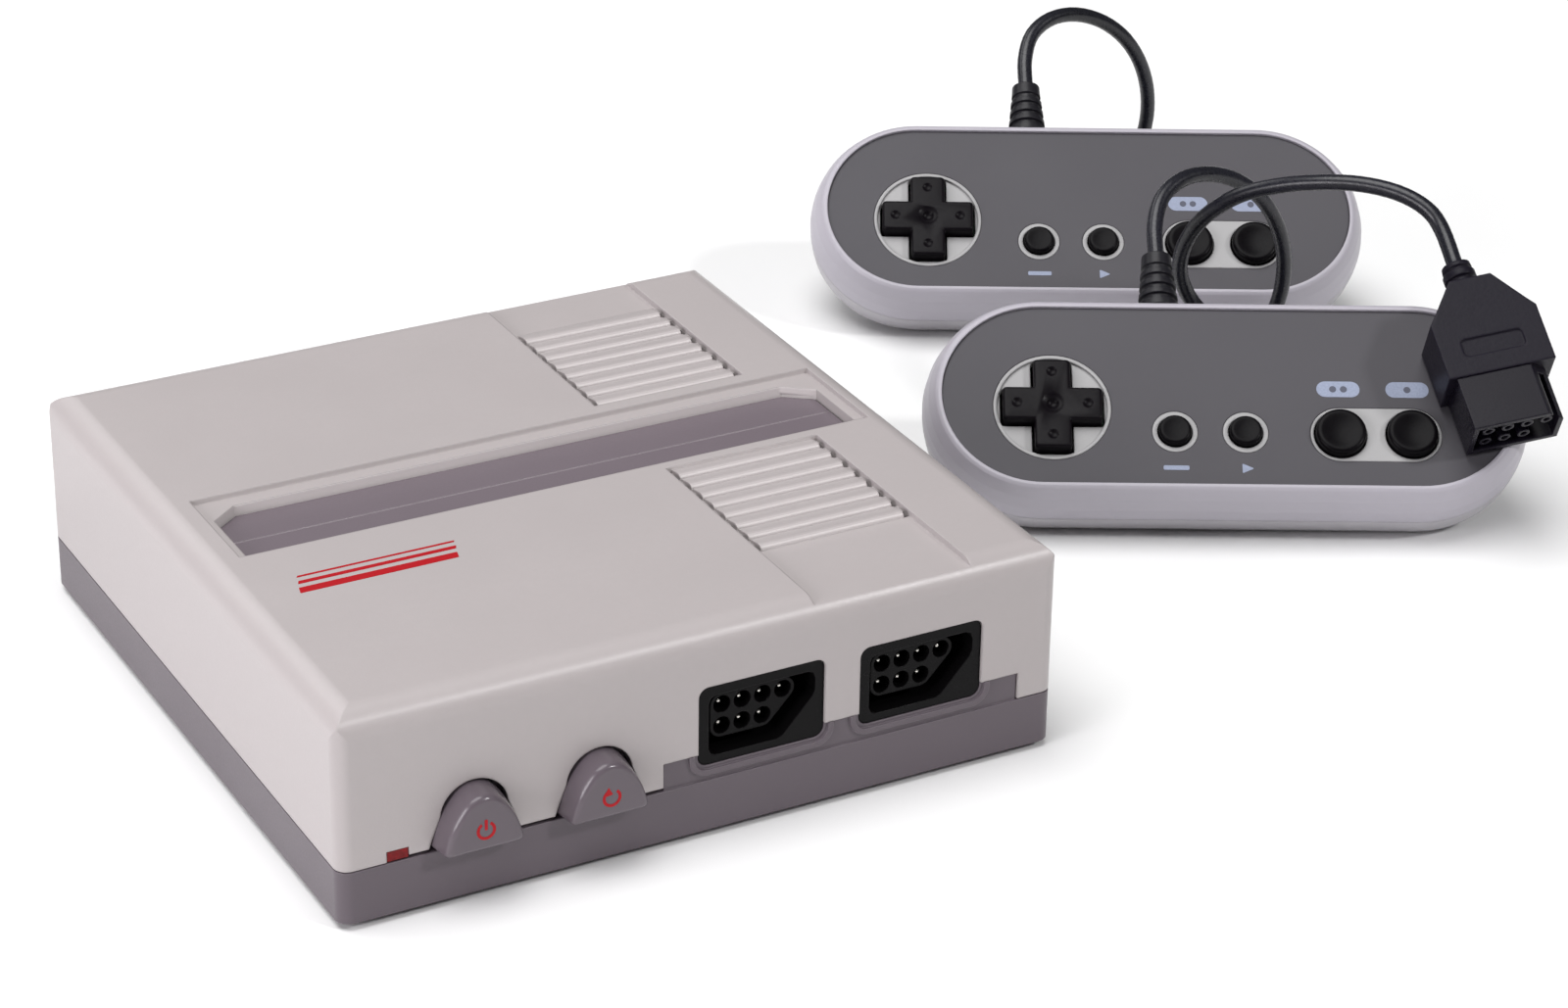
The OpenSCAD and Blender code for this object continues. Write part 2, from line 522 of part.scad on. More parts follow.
module button_pads() color([0.35, 0.35, 0.37]) {
    translate([0, 0, 9.25]) linear_extrude(0.6) { capsule2d(bb[0], ba[0], ba[1], 6.3); capsule2d(sel[0], sta[0], sel[1], 4.9); }
    for (p = [ba, bb]) translate([p[0], p[1], 9.8]) cylinder(r1 = 3.6, r2 = 2.6, h = 0.4);
    for (p = [sel, sta]) translate([p[0], p[1], 9.8]) cylinder(r1 = 2.8, r2 = 2, h = 0.4);
}
module pad_board() color(board_col) difference() {
    slab(19.4, 7.8, 9.2);
    bx(relief_x - 4.8, 18.1, 0, relief_x + 4.8, 30, 20);
    for (p = pscrew_at) translate([p[0], p[1], 0]) cylinder(r = 1.35, h = 20);
}
module pad_screws() color(metal_col) for (p = pscrew_at) translate([p[0], p[1], 0]) {
    difference() {
        translate([0, 0, 1]) cylinder(r = 2.3, h = 1.45);
        bx(-1.4, -0.35, 0, 1.4, 0.35, 1.8); bx(-0.35, -1.4, 0, 0.35, 1.4, 1.8);
    }
    translate([0, 0, 2.4]) cylinder(r = 1.1, h = 10);
}
// tapered, ribbed boot with a collar held inside the shells
module strain_relief() color(black_col) translate([relief_x, pad_w / 2, relief_z]) rotate([-90, 0, 0]) rotate_extrude() {
    polygon([[0, -5.2], [2.9, -5.2], [2.9, -3.6], [4.3, -3.6], [4.3, -2.1], [3.6, -2.1], [3.6, -0.2], [4.3, 0], [4.3, 1.4], [3.5, 1.6], [3.5, 2.6], [4.1, 2.8], [4.0, 3.9],
        [3.3, 4.1], [3.3, 5.1], [3.85, 5.3], [3.75, 6.4], [3.1, 6.6], [3.1, 7.6], [3.6, 7.8], [3.5, 8.9], [2.9, 9.1], [2.9, 10.1], [3.3, 10.3], [3.1, relief_l], [0, relief_l]]);
}

// plug: local origin at the middle of its body, nose towards -Y, thickness along Z
plug_w = 22.4;
plug_t = 12;
plug_in = [51, 10.5, pad_t + 0.25 + plug_t / 2];
plug_turn = 14;
module plug_body() color(black_col) difference() {
    union() {
        translate([0, 0, -plug_t / 2]) linear_extrude(plug_t) polygon([[-11.2, -10.6], [11.2, -10.6], [11.2, 2], [9.6, 4], [4.4, 11], [-4.4, 11], [-9.6, 4], [-11.2, 2]]);
        translate([0, 10.8, 0]) rotate([-90, 0, 0]) rotate_extrude() polygon([[0, 0], [3.5, 0], [3.5, 1.6], [2.8, 1.8], [2.8, 2.6], [3.4, 2.8], [3.4, 4.2], [2.7, 4.4], [2.7, 5.0], [3.1, 5.2], [3.0, 6.2], [0, 6.2]]);
    }
    translate([0, 0, plug_t / 2 - 0.4]) linear_extrude(1) rr(-6.5, -6.5, 6.5, -2.5, 1);
}
module plug_nose() color([0.12, 0.12, 0.15]) {
    difference() {
        translate([0, 0, -5.6]) linear_extrude(11.2) polygon([[-9.6, -22.4], [9.6, -22.4], [9.6, -10.65], [-9.6, -10.65]]);
        translate([0, 0, -4.5]) linear_extrude(9) polygon([[-8.5, -30], [8.5, -30], [8.5, -12.4], [-8.5, -12.4]]);
        translate([9.6, -10, 5.6]) rotate([90, 45, 0]) translate([-2.6, -2.6, -1]) cube([5.2, 5.2, 16]);
    }
    for (h = holes) translate([h[0] - holes[0][0] - 6.1, -12.2, 0.2 + (h[1] > 8 ? 2.15 : -2.15)]) rotate([90, 0, 0]) difference() {
        cylinder(r = 1.3, h = 9.8);
        translate([0, 0, 2]) cylinder(r = 0.7, h = 9);
    }
}
module on_face(i) pad(i) translate(plug_in) rotate([0, 0, plug_turn]) children();
// the second plug lies on the table beside its own coil
module by_coil(i) ground(i) translate([-34.6, 43.5, 0.05 + plug_t / 2]) children();

// ---------- cords ----------
coil_c = [2, 44.6];
coil_r = 19;
coil_n = 3;
coil_p = cord_d + 0.1;
coil_h = cord_d + 3 * coil_p;
coil_half = (coil_n - 1) * coil_p / 2 + cord_d / 2;
low_z = cord_d / 2 + 0.2;
top_z = coil_h - cord_d / 2;

// smooth curve through hand-set points
function cr(a, b, c, d, t) = 0.5 * ((2 * b) + (c - a) * t + (2 * a - 5 * b + 4 * c - d) * t * t + (3 * b - a - 3 * c + d) * t * t * t);
function smooth(p, n) = let (m = len(p) - 1, q = concat([2 * p[0] - p[1]], p, [2 * p[m] - p[m - 1]]))
    concat([for (i = [1:m]) for (k = [0:n - 1]) cr(q[i - 1], q[i], q[i + 1], q[i + 2], k / n)], [p[m]]);
relief_end = lean([relief_x, pad_w / 2 + relief_l, relief_z]);
relief_out = lean([relief_x, pad_w / 2 + relief_l + 8, relief_z]);
plug_end = lean([plug_in[0] - 17 * sin(plug_turn), plug_in[1] + 17 * cos(plug_turn), plug_in[2]]);
plug_out = lean([plug_in[0] - 26 * sin(plug_turn), plug_in[1] + 26 * cos(plug_turn), plug_in[2]]);
// out of the boot, over in a loop and down into the coil
loop_route = concat([relief_end, relief_out], [[-10.8, 56.8, 49.6], [-6.2, 62, 51.6], [0, 66.6, 51], [6.6, 70.6, 47.8], [12.4, 73.8, 42.4], [16.6, 76.2, 35.2], [18.8, 78, 27], [18.8, 78.8, 18.6], [16.4, 78.6, 10.8], [12, 77, 5], [6.4, 74, 2.2], [0.4, 70.4, low_z], [-5.7, 66.6, low_z]]);
// out of the coil and up to the plug on the controller's face
arc_route = concat([[16.5, 61.8, top_z], [10.4, 66, 13], [4, 68.4, 15.4], [-1.6, 68.8, 20.2], [-4.8, 67.2, 27.6], [-4.6, 64.4, 35.6], [-1.2, 61, 43.4], [5, 57, 50], [12.4, 53, 54], [20.4, 49, 56.6], [28.6, 45.6, 57.8], [36.2, 42, 57.4], [41.8, 38.4, 55.4]], [plug_out, plug_end]);
// out of the coil and down to the plug that lies beside it
lead_route = [[-2.6, 66.6, top_z], [-9.6, 67.6, 11.9], [-16.4, 70.6, 10.8], [-22.4, 73.8, 9.6], [-28.4, 74.2, 8.6], [-33, 70.8, 7.6], [-34.6, 65.6, 6.6], [-34.6, 60.5, 0.05 + plug_t / 2]];
module cord_tube(route, n) color([0.1, 0.1, 0.13]) sweep(smooth(route, n), cord_d / 2, 8);
module cord_coil() color([0.1, 0.1, 0.13]) translate([coil_c[0], coil_c[1], 0.05]) rotate_extrude($fn = 72)
    translate([coil_r - coil_half, 0]) rr(0, 0, 2 * coil_half, coil_h - 0.05, 1.2);

module front_shell_1() pad(0) front_shell();
module face_plate_1() pad(0) face_plate();
module back_shell_1() pad(0) back_shell();
module dpad_1() pad(0) dpad();
module dpad_pad_1() pad(0) dpad_pad();
module button_a_1() pad(0) key(ba, 5.1, 18.2, 6.2);
module button_b_1() pad(0) key(bb, 5.1, 18.2, 6.2);
module button_select_1() pad(0) key(sel, 3.3, 17.6, 4.2);
module button_start_1() pad(0) key(sta, 3.3, 17.6, 4.2);
module button_pads_1() pad(0) button_pads();
module pad_board_1() pad(0) pad_board();
module pad_screws_1() pad(0) pad_screws();
module strain_relief_1() pad(0) strain_relief();
module cord_1() { ground(0) cord_tube(loop_route, 2); ground(0) cord_tube(arc_route, 2); }
module cord_coil_1() ground(0) cord_coil();
module plug_body_1() on_face(0) plug_body();
module plug_nose_1() on_face(0) plug_nose();

module front_shell_2() pad(1) front_shell();
module face_plate_2() pad(1) face_plate();
module back_shell_2() pad(1) back_shell();
module dpad_2() pad(1) dpad();
module dpad_pad_2() pad(1) dpad_pad();
module button_a_2() pad(1) key(ba, 5.1, 18.2, 6.2);
module button_b_2() pad(1) key(bb, 5.1, 18.2, 6.2);
module button_select_2() pad(1) key(sel, 3.3, 17.6, 4.2);
module button_start_2() pad(1) key(sta, 3.3, 17.6, 4.2);
module button_pads_2() pad(1) button_pads();
module pad_board_2() pad(1) pad_board();
module pad_screws_2() pad(1) pad_screws();
module strain_relief_2() pad(1) strain_relief();
module cord_2() { ground(1) cord_tube(loop_route, 2); ground(1) cord_tube(lead_route, 2); }
module cord_coil_2() ground(1) cord_coil();
module plug_body_2() by_coil(1) plug_body();
module plug_nose_2() by_coil(1) plug_nose();

top_shell();
base_shell();
slot_flap();
flap_hinge_pin();
flap_spring();
power_button();
power_spring();
power_switch();
reset_button();
reset_spring();
reset_switch();
led_lens();
led();
port_socket_left();
port_socket_right();
port_pins();
main_board();
board_components();
cartridge_connector();
connector_contacts();
av_jacks();
dc_jack();
case_screws();
board_screws();
rubber_feet();
front_shell_1();
face_plate_1();
back_shell_1();
dpad_1();
dpad_pad_1();
button_a_1();
button_b_1();
button_select_1();
button_start_1();
button_pads_1();
pad_board_1();
pad_screws_1();
strain_relief_1();
cord_1();
cord_coil_1();
plug_body_1();
plug_nose_1();
front_shell_2();
face_plate_2();
back_shell_2();
dpad_2();
dpad_pad_2();
button_a_2();
button_b_2();
button_select_2();
button_start_2();
button_pads_2();
pad_board_2();
pad_screws_2();
strain_relief_2();
cord_2();
cord_coil_2();
plug_body_2();
plug_nose_2();
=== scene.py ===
import bpy, bmesh, math
from mathutils import Vector, Matrix


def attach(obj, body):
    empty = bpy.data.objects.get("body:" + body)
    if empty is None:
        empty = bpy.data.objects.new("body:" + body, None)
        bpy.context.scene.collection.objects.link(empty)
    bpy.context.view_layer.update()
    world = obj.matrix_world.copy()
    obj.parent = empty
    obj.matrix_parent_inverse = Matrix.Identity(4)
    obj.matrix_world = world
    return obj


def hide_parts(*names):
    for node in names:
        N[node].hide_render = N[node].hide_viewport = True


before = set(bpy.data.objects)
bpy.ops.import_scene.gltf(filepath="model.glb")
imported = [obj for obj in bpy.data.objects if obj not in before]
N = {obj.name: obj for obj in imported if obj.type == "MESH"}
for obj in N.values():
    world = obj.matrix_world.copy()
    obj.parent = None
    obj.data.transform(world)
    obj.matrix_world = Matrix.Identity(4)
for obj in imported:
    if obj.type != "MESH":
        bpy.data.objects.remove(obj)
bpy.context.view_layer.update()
MM = 0.001
scene = bpy.context.scene
PI = math.pi

# ------------------------------------------------------------------ places
SET = Vector((-154.7, -100.5, 1.2))          # console's front left corner in the row frame, mm
PADS = [(219.0, 57.0), (245.0, 152.0)]       # lower front edge of each controller, from that corner
TILT, YAW = math.radians(36), math.radians(-28)
PAD_L, PAD_W, PAD_T = 124.0, 47.8, 16.8
PROF = [(20.9, 0), (21.9, 0.4), (22.7, 1.2), (23.4, 3), (23.8, 6), (23.9, 8.4), (23.6, 11), (22.8, 14), (22.0, 15.6), (21.5, 16.4), (20.9, 16.8)]
LOWEST = min((PAD_W / 2 - a) * math.sin(TILT) + b * math.cos(TILT) for a, b in PROF)
FACE_Z = 16.2


def con(x, y, z):
    return Vector((SET.x + x, SET.y + y, SET.z + z)) * MM


def pad_matrix(i):
    """Controller's own millimetres (middle of its pill, z out of its face) to the row frame in metres."""
    return (Matrix.Scale(MM, 4) @ Matrix.Translation((SET.x + PADS[i][0], SET.y + PADS[i][1], 0.03 - LOWEST))
            @ Matrix.Rotation(YAW, 4, "Z") @ Matrix.Rotation(TILT, 4, "X") @ Matrix.Translation((0, PAD_W / 2, 0)))


def ground_matrix(i):
    return Matrix.Scale(MM, 4) @ Matrix.Translation((SET.x + PADS[i][0], SET.y + PADS[i][1], 0)) @ Matrix.Rotation(YAW, 4, "Z")


CON = Matrix.Scale(MM, 4) @ Matrix.Translation(SET)

# ------------------------------------------------------------------ camera, at the photograph's angle
cam_data = bpy.data.cameras.new("camera")
cam = bpy.data.objects.new("camera", cam_data)
scene.collection.objects.link(cam)
scene.camera = cam
cam_data.sensor_width = 36
cam_data.lens = 96.32
cam_data.clip_start, cam_data.clip_end = 0.05, 30
fwd = Vector((0.42974, 0.78084, -0.45344)).normalized()
right = Vector((0.87966, -0.47536, 0.01509))
right = (right - fwd * right.dot(fwd)).normalized()
up = right.cross(fwd)
rot = Matrix((right, up, -fwd)).transposed()
cam.matrix_world = Matrix.Translation(con(-226.2, -565.1, 389.8)) @ rot.to_4x4()

# ------------------------------------------------------------------ cords
CORD_D = 3.4
COIL_H = 13.9
COIL_C = (2.0, 44.6)
LOW_Z = CORD_D / 2 + 0.2
TOP_Z = COIL_H - CORD_D / 2


def lean(p):
    y = p[1] + PAD_W / 2
    return Vector((p[0], y * math.cos(TILT) - p[2] * math.sin(TILT), y * math.sin(TILT) + p[2] * math.cos(TILT) + 0.03 - LOWEST))


def smooth(pts, n):
    """The same smooth curve through given points as in the part's source."""
    p = [Vector(q) for q in pts]
    q = [2 * p[0] - p[1]] + p + [2 * p[-1] - p[-2]]
    out = []
    for i in range(1, len(p)):
        a, b, c, d = q[i - 1], q[i], q[i + 1], q[i + 2]
        for k in range(n):
            t = k / n
            out.append(0.5 * (2 * b + (c - a) * t + (2 * a - 5 * b + 4 * c - d) * t * t + (3 * b - a - 3 * c + d) * t ** 3))
    out.append(p[-1])
    return out


PLUG_IN, PLUG_TURN = (51.0, 10.5, PAD_T + 0.25 + 6.0), math.radians(14)
relief_end = lean((-12.7, PAD_W / 2 + 13, 8.4))
relief_out = lean((-12.7, PAD_W / 2 + 21, 8.4))
plug_end = lean((PLUG_IN[0] - 17 * math.sin(PLUG_TURN), PLUG_IN[1] + 17 * math.cos(PLUG_TURN), PLUG_IN[2]))
plug_out = lean((PLUG_IN[0] - 26 * math.sin(PLUG_TURN), PLUG_IN[1] + 26 * math.cos(PLUG_TURN), PLUG_IN[2]))
LOOP = [relief_end, relief_out, (-10.8, 56.8, 49.6), (-6.2, 62, 51.6), (0, 66.6, 51), (6.6, 70.6, 47.8), (12.4, 73.8, 42.4), (16.6, 76.2, 35.2),
        (18.8, 78, 27), (18.8, 78.8, 18.6), (16.4, 78.6, 10.8), (12, 77, 5), (6.4, 74, 2.2), (0.4, 70.4, LOW_Z), (-5.7, 66.6, LOW_Z)]
ARC = [(16.5, 61.8, TOP_Z), (10.4, 66, 13), (4, 68.4, 15.4), (-1.6, 68.8, 20.2), (-4.8, 67.2, 27.6), (-4.6, 64.4, 35.6), (-1.2, 61, 43.4), (5, 57, 50),
       (12.4, 53, 54), (20.4, 49, 56.6), (28.6, 45.6, 57.8), (36.2, 42, 57.4), (41.8, 38.4, 55.4), plug_out, plug_end]
LEAD = [(-2.6, 66.6, TOP_Z), (-9.6, 67.6, 11.9), (-16.4, 70.6, 10.8), (-22.4, 73.8, 9.6), (-28.4, 74.2, 8.6), (-33, 70.8, 7.6), (-34.6, 65.6, 6.6),
        (-34.6, 60.5, 0.05 + 6.0)]
# where each turn moves over, in degrees along the winding: start, radius before, radius after
SHIFTS = [(300, 22.5, 19), (660, 19, 15.5), (1260, 15.5, 19), (1620, 19, 22.5), (2220, 22.5, 19), (2580, 19, 15.5), (3180, 15.5, 19), (3540, 19, 22.5)]
LAYER_UPS = [960, 1920, 2880]


def ease(t):
    t = max(0.0, min(1.0, t))
    return t * t * (3 - 2 * t)


def winding(start, end):
    a0 = math.atan2(start[1] - COIL_C[1], start[0] - COIL_C[0])
    a1 = math.atan2(end[1] - COIL_C[1], end[0] - COIL_C[0])
    total = 3600 + math.degrees(a1 - a0) % 360
    n = int(total / 12)
    out = []
    for i in range(1, n):
        th = total * i / n
        r, z = 22.5, CORD_D / 2 + 0.05
        for s, before, after in SHIFTS:
            if th >= s:
                r = before + (after - before) * ease((th - s) / 60)
        for s in LAYER_UPS:
            z += 3.48 * ease((th - s) / 60)
        a = a0 + math.radians(th)
        out.append(Vector((COIL_C[0] + r * math.cos(a), COIL_C[1] + r * math.sin(a), z)))
    return out


def cord_curve(name, i, end):
    pts = smooth(LOOP, 4) + winding(LOOP[-1], end[0]) + smooth(end, 4)
    g = ground_matrix(i)
    cd = bpy.data.curves.new(name, "CURVE")
    cd.dimensions = "3D"
    sp = cd.splines.new("POLY")
    sp.points.add(len(pts) - 1)
    for k, q in enumerate(pts):
        sp.points[k].co = (*(g @ q), 1)
    cd.bevel_depth = CORD_D / 2 * MM
    cd.bevel_resolution = 5
    cd.use_fill_caps = True
    sp.use_smooth = True
    o = bpy.data.objects.new(name, cd)
    scene.collection.objects.link(o)
    return o, g @ pts[0]


# ------------------------------------------------------------------ materials
def srgb(r, g, b):
    def lin(c):
        c = c / 255
        return c / 12.92 if c <= 0.04045 else ((c + 0.055) / 1.055) ** 2.4
    return (lin(r), lin(g), lin(b), 1)


class Tree:
    def __init__(self, name):
        self.m = bpy.data.materials.new(name)
        self.m.use_nodes = True
        self.t = self.m.node_tree
        self.bsdf = self.t.nodes["Principled BSDF"]
        self.coord = self.t.nodes.new("ShaderNodeTexCoord").outputs["Object"]

    def node(self, kind, **kw):
        n = self.t.nodes.new(kind)
        for k, v in kw.items():
            if k.startswith("in_"):
                n.inputs[int(k[3:])].default_value = v
            else:
                setattr(n, k, v)
        return n

    def link(self, a, b):
        self.t.links.new(a, b)

    def noise(self, scale, detail=2.0, rough=0.5, stretch=None):
        n = self.t.nodes.new("ShaderNodeTexNoise")
        n.inputs["Scale"].default_value = scale
        n.inputs["Detail"].default_value = detail
        n.inputs["Roughness"].default_value = rough
        if stretch:
            mp = self.t.nodes.new("ShaderNodeMapping")
            mp.inputs["Scale"].default_value = stretch
            self.link(self.coord, mp.inputs["Vector"])
            self.link(mp.outputs["Vector"], n.inputs["Vector"])
        else:
            self.link(self.coord, n.inputs["Vector"])
        return n.outputs["Fac"]

    def math(self, op, a, b=None, clamp=False):
        n = self.t.nodes.new("ShaderNodeMath")
        n.operation = op
        n.use_clamp = clamp
        for k, v in enumerate((a, b)):
            if v is None:
                continue
            if isinstance(v, (int, float)):
                n.inputs[k].default_value = v
            else:
                self.link(v, n.inputs[k])
        return n.outputs[0]

    def span(self, v, a, b, c, d):
        n = self.t.nodes.new("ShaderNodeMapRange")
        n.clamp = True
        for k, x in zip(("From Min", "From Max", "To Min", "To Max"), (a, b, c, d)):
            n.inputs[k].default_value = x
        self.link(v, n.inputs["Value"])
        return n.outputs["Result"]

    def mix(self, fac, a, b):
        n = self.t.nodes.new("ShaderNodeMix")
        n.data_type = "RGBA"
        if isinstance(fac, (int, float)):
            n.inputs["Factor"].default_value = fac
        else:
            self.link(fac, n.inputs["Factor"])
        for key, v in (("A", a), ("B", b)):
            sock = [s for s in n.inputs if s.name == key and s.type == "RGBA"][0]
            if isinstance(v, tuple):
                sock.default_value = v
            else:
                self.link(v, sock)
        return [s for s in n.outputs if s.type == "RGBA"][0]

    def edge(self, radius):
        """1 on sharp edges, 0 on flats: how far the rounded normal leans from the true one."""
        b = self.t.nodes.new("ShaderNodeBevel")
        b.samples = 6
        b.inputs["Radius"].default_value = radius
        g = self.t.nodes.new("ShaderNodeNewGeometry")
        d = self.t.nodes.new("ShaderNodeVectorMath")
        d.operation = "DOT_PRODUCT"
        self.link(b.outputs["Normal"], d.inputs[0])
        self.link(g.outputs["Normal"], d.inputs[1])
        return self.span(d.outputs["Value"], 1.0, 0.72, 0.0, 1.0), b.outputs["Normal"]


def scaled(c, k):
    return (min(1, c[0] * k), min(1, c[1] * k), min(1, c[2] * k), 1)


def plastic(name, col, rough=0.42, grain=2600, bump=0.35, dist=0.00004, var=0.016, painted_edge_light=1.25, edge_r=0.0005, coat=0.0, spec=0.5, mottles=32):
    T = Tree(name)
    e, nrm = T.edge(edge_r)
    big = T.noise(mottles, 3, 0.6)
    fine = T.noise(grain, 2, 0.6)
    speck = T.noise(grain * 0.35, 1, 0.5)
    body = T.mix(T.span(big, 0.3, 0.7, 0, 1), scaled(col, 1 - var), scaled(col, 1 + var))
    body = T.mix(T.span(speck, 0.35, 0.65, 0.0, 0.35), body, scaled(col, 1 - var * 1.5))
    # painted highlight: the base colour is lightened on sharp edges
    body = T.mix(T.math("MULTIPLY", e, 0.55), body, scaled(col, painted_edge_light))
    T.link(body, T.bsdf.inputs["Base Color"])
    T.link(T.span(T.math("ADD", T.math("MULTIPLY", big, 0.5), T.math("MULTIPLY", fine, 0.5)), 0.3, 0.7, rough - 0.06, rough + 0.07), T.bsdf.inputs["Roughness"])
    bn = T.node("ShaderNodeBump")
    bn.inputs["Strength"].default_value = bump
    bn.inputs["Distance"].default_value = dist
    T.link(fine, bn.inputs["Height"])
    T.link(nrm, bn.inputs["Normal"])
    T.link(bn.outputs["Normal"], T.bsdf.inputs["Normal"])
    T.bsdf.inputs["IOR"].default_value = 1.47
    T.bsdf.inputs["Specular IOR Level"].default_value = spec
    if coat:
        T.bsdf.inputs["Coat Weight"].default_value = coat
        T.bsdf.inputs["Coat Roughness"].default_value = 0.12
    T.body = body
    return T


def metal(name, col, rough=0.3, stretch=(30, 900, 900)):
    T = Tree(name)
    e, nrm = T.edge(0.0002)
    streak = T.noise(40, 2, 0.5, stretch)
    T.link(T.mix(T.span(streak, 0.3, 0.7, 0, 1), scaled(col, 0.9), scaled(col, 1.06)), T.bsdf.inputs["Base Color"])
    T.link(T.span(streak, 0.3, 0.7, rough - 0.08, rough + 0.1), T.bsdf.inputs["Roughness"])
    T.bsdf.inputs["Metallic"].default_value = 1.0
    T.link(nrm, T.bsdf.inputs["Normal"])
    return T


SHELL = srgb(178, 171, 171)
BASE = srgb(94, 85, 92)
M = {}


def shell_plastic():
    """Shell grey, with painted light: the little walls that face the front inside the slot and between the louvres are
    painted paler, standing in for the light they catch.
    """
    T = plastic("shell_grey", SHELL, rough=0.34, painted_edge_light=1.08, grain=1700, bump=0.5)
    g = T.node("ShaderNodeNewGeometry")
    n = T.node("ShaderNodeSeparateXYZ")
    T.link(g.outputs["Normal"], n.inputs[0])
    at = T.node("ShaderNodeSeparateXYZ")
    T.link(T.coord, at.inputs[0])
    facing = T.span(n.outputs[1], -0.25, -0.9, 0.0, 1.0)
    inner = T.math("MULTIPLY", T.math("GREATER_THAN", at.outputs[1], (SET.y + 8) * MM), T.math("GREATER_THAN", at.outputs[2], (SET.z + 36) * MM))
    slot = T.math("LESS_THAN", T.math("ABSOLUTE", T.math("SUBTRACT", at.outputs[1], (SET.y + 74) * MM)), 13 * MM)
    step = T.math("MULTIPLY", slot, T.math("GREATER_THAN", at.outputs[2], (SET.z + 39.45) * MM))
    # painted light on the front-facing walls: full on the slot's wall, half on the louvres, a little on the step round
    # the slot
    painted_light_share = T.math("SUBTRACT", T.math("ADD", 0.42, T.math("MULTIPLY", slot, 0.5)), T.math("MULTIPLY", step, 0.62))
    T.link(T.mix(T.math("MULTIPLY", T.math("MULTIPLY", facing, inner), painted_light_share), T.body, srgb(240, 233, 232)), T.bsdf.inputs["Base Color"])
    return T.m


def flap_plastic():
    """Mauve flap, with a painted highlight: the scored line along it is painted a little paler."""
    T = plastic("flap_mauve", srgb(112, 102, 109), rough=0.42, painted_edge_light=1.4)
    at = T.node("ShaderNodeSeparateXYZ")
    T.link(T.coord, at.inputs[0])
    # painted highlight along the scored line
    off = T.math("ABSOLUTE", T.math("SUBTRACT", at.outputs[1], (SET.y + 61.6 + 10.85) * MM))
    T.link(T.mix(T.math("LESS_THAN", off, 0.2 * MM), T.body, srgb(176, 166, 172)), T.bsdf.inputs["Base Color"])
    return T.m


M["shell"] = shell_plastic()
M["base"] = plastic("base_mauve", BASE, rough=0.36, painted_edge_light=2.3, edge_r=0.0004).m
M["flap"] = flap_plastic()
M["button"] = plastic("button_mauve", srgb(97, 88, 95), rough=0.22, painted_edge_light=1.45, edge_r=0.0004, grain=1800, bump=0.05, var=0.015).m
M["socket"] = plastic("socket_black", srgb(12, 11, 12), rough=0.3, painted_edge_light=5.0, edge_r=0.0003, bump=0.1, spec=0.12).m
M["black_smooth"] = plastic("smooth_black", srgb(30, 28, 31), rough=0.3, painted_edge_light=2.0, edge_r=0.0003, bump=0.1).m
M["key"] = plastic("key_black", srgb(11, 9, 12), rough=0.3, painted_edge_light=2.8, edge_r=0.0004, grain=1500, bump=0.1, spec=0.08).m
M["cross"] = plastic("cross_black", srgb(15, 12, 16), rough=0.33, painted_edge_light=3.0, edge_r=0.0004, grain=1500, bump=0.1, spec=0.1).m
M["pad_back"] = plastic("pad_back_grey", srgb(178, 175, 180), rough=0.38, painted_edge_light=1.1, var=0.012).m
M["plate"] = plastic("plate_grey", srgb(76, 74, 79), rough=0.46, painted_edge_light=1.5, edge_r=0.0003, grain=1800, bump=0.15, var=0.012, spec=0.3).m
M["rubber"] = plastic("dark_rubber", srgb(52, 51, 54), rough=0.75, painted_edge_light=1.3, bump=0.5).m
M["boot"] = plastic("boot_black", srgb(22, 21, 27), rough=0.42, spec=0.35, painted_edge_light=1.9, edge_r=0.0003, grain=1200, bump=0.35).m
M["plug"] = plastic("plug_black", srgb(24, 21, 31), rough=0.4, painted_edge_light=2.3, edge_r=0.0006, grain=1300, bump=0.6, dist=0.00006, spec=0.18).m
M["plug_nose"] = plastic("plug_nose_black", srgb(20, 17, 26), rough=0.3, painted_edge_light=2.4, edge_r=0.0004, bump=0.2, spec=0.2).m
M["white"] = plastic("switch_white", srgb(225, 222, 214), rough=0.5).m
M["steel"] = metal("plain_steel", srgb(190, 190, 192)).m
M["pins"] = metal("bright_pins", srgb(225, 222, 215), rough=0.18).m
M["gold"] = metal("contact_gold", srgb(214, 180, 100), rough=0.25).m


def island_plastic():
    """Front shell of a controller: lilac grey, with the islands that show through the plate a little lighter and warmer."""
    out = []
    for i in (0, 1):
        T = plastic("pad_front_grey_%d" % (i + 1), srgb(178, 174, 183), rough=0.38, painted_edge_light=1.1, var=0.012)
        m = pad_matrix(i)
        inv = m.inverted()                       # metres in the row frame to the controller's millimetres
        loc, rotq, _ = inv.decompose()
        mp = T.node("ShaderNodeMapping")
        mp.vector_type = "POINT"
        mp.inputs["Scale"].default_value = (1000, 1000, 1000)
        mp.inputs["Rotation"].default_value = rotq.to_euler("XYZ")
        mp.inputs["Location"].default_value = loc
        T.link(T.coord, mp.inputs["Vector"])
        sep = T.node("ShaderNodeSeparateXYZ")
        T.link(mp.outputs["Vector"], sep.inputs[0])
        past = T.math("MAXIMUM", T.math("SUBTRACT", T.math("ABSOLUTE", sep.outputs[0]), PAD_L / 2 - PAD_W / 2), 0.0)
        far = T.math("SQRT", T.math("ADD", T.math("MULTIPLY", past, past), T.math("MULTIPLY", sep.outputs[1], sep.outputs[1])))
        inside = T.math("MULTIPLY", T.math("LESS_THAN", far, 20.22), T.math("GREATER_THAN", sep.outputs[2], 13.5))
        T.link(T.mix(inside, T.body, srgb(163, 162, 163)), T.bsdf.inputs["Base Color"])
        out.append(T.m)
    return out


M["pad_front"] = island_plastic()


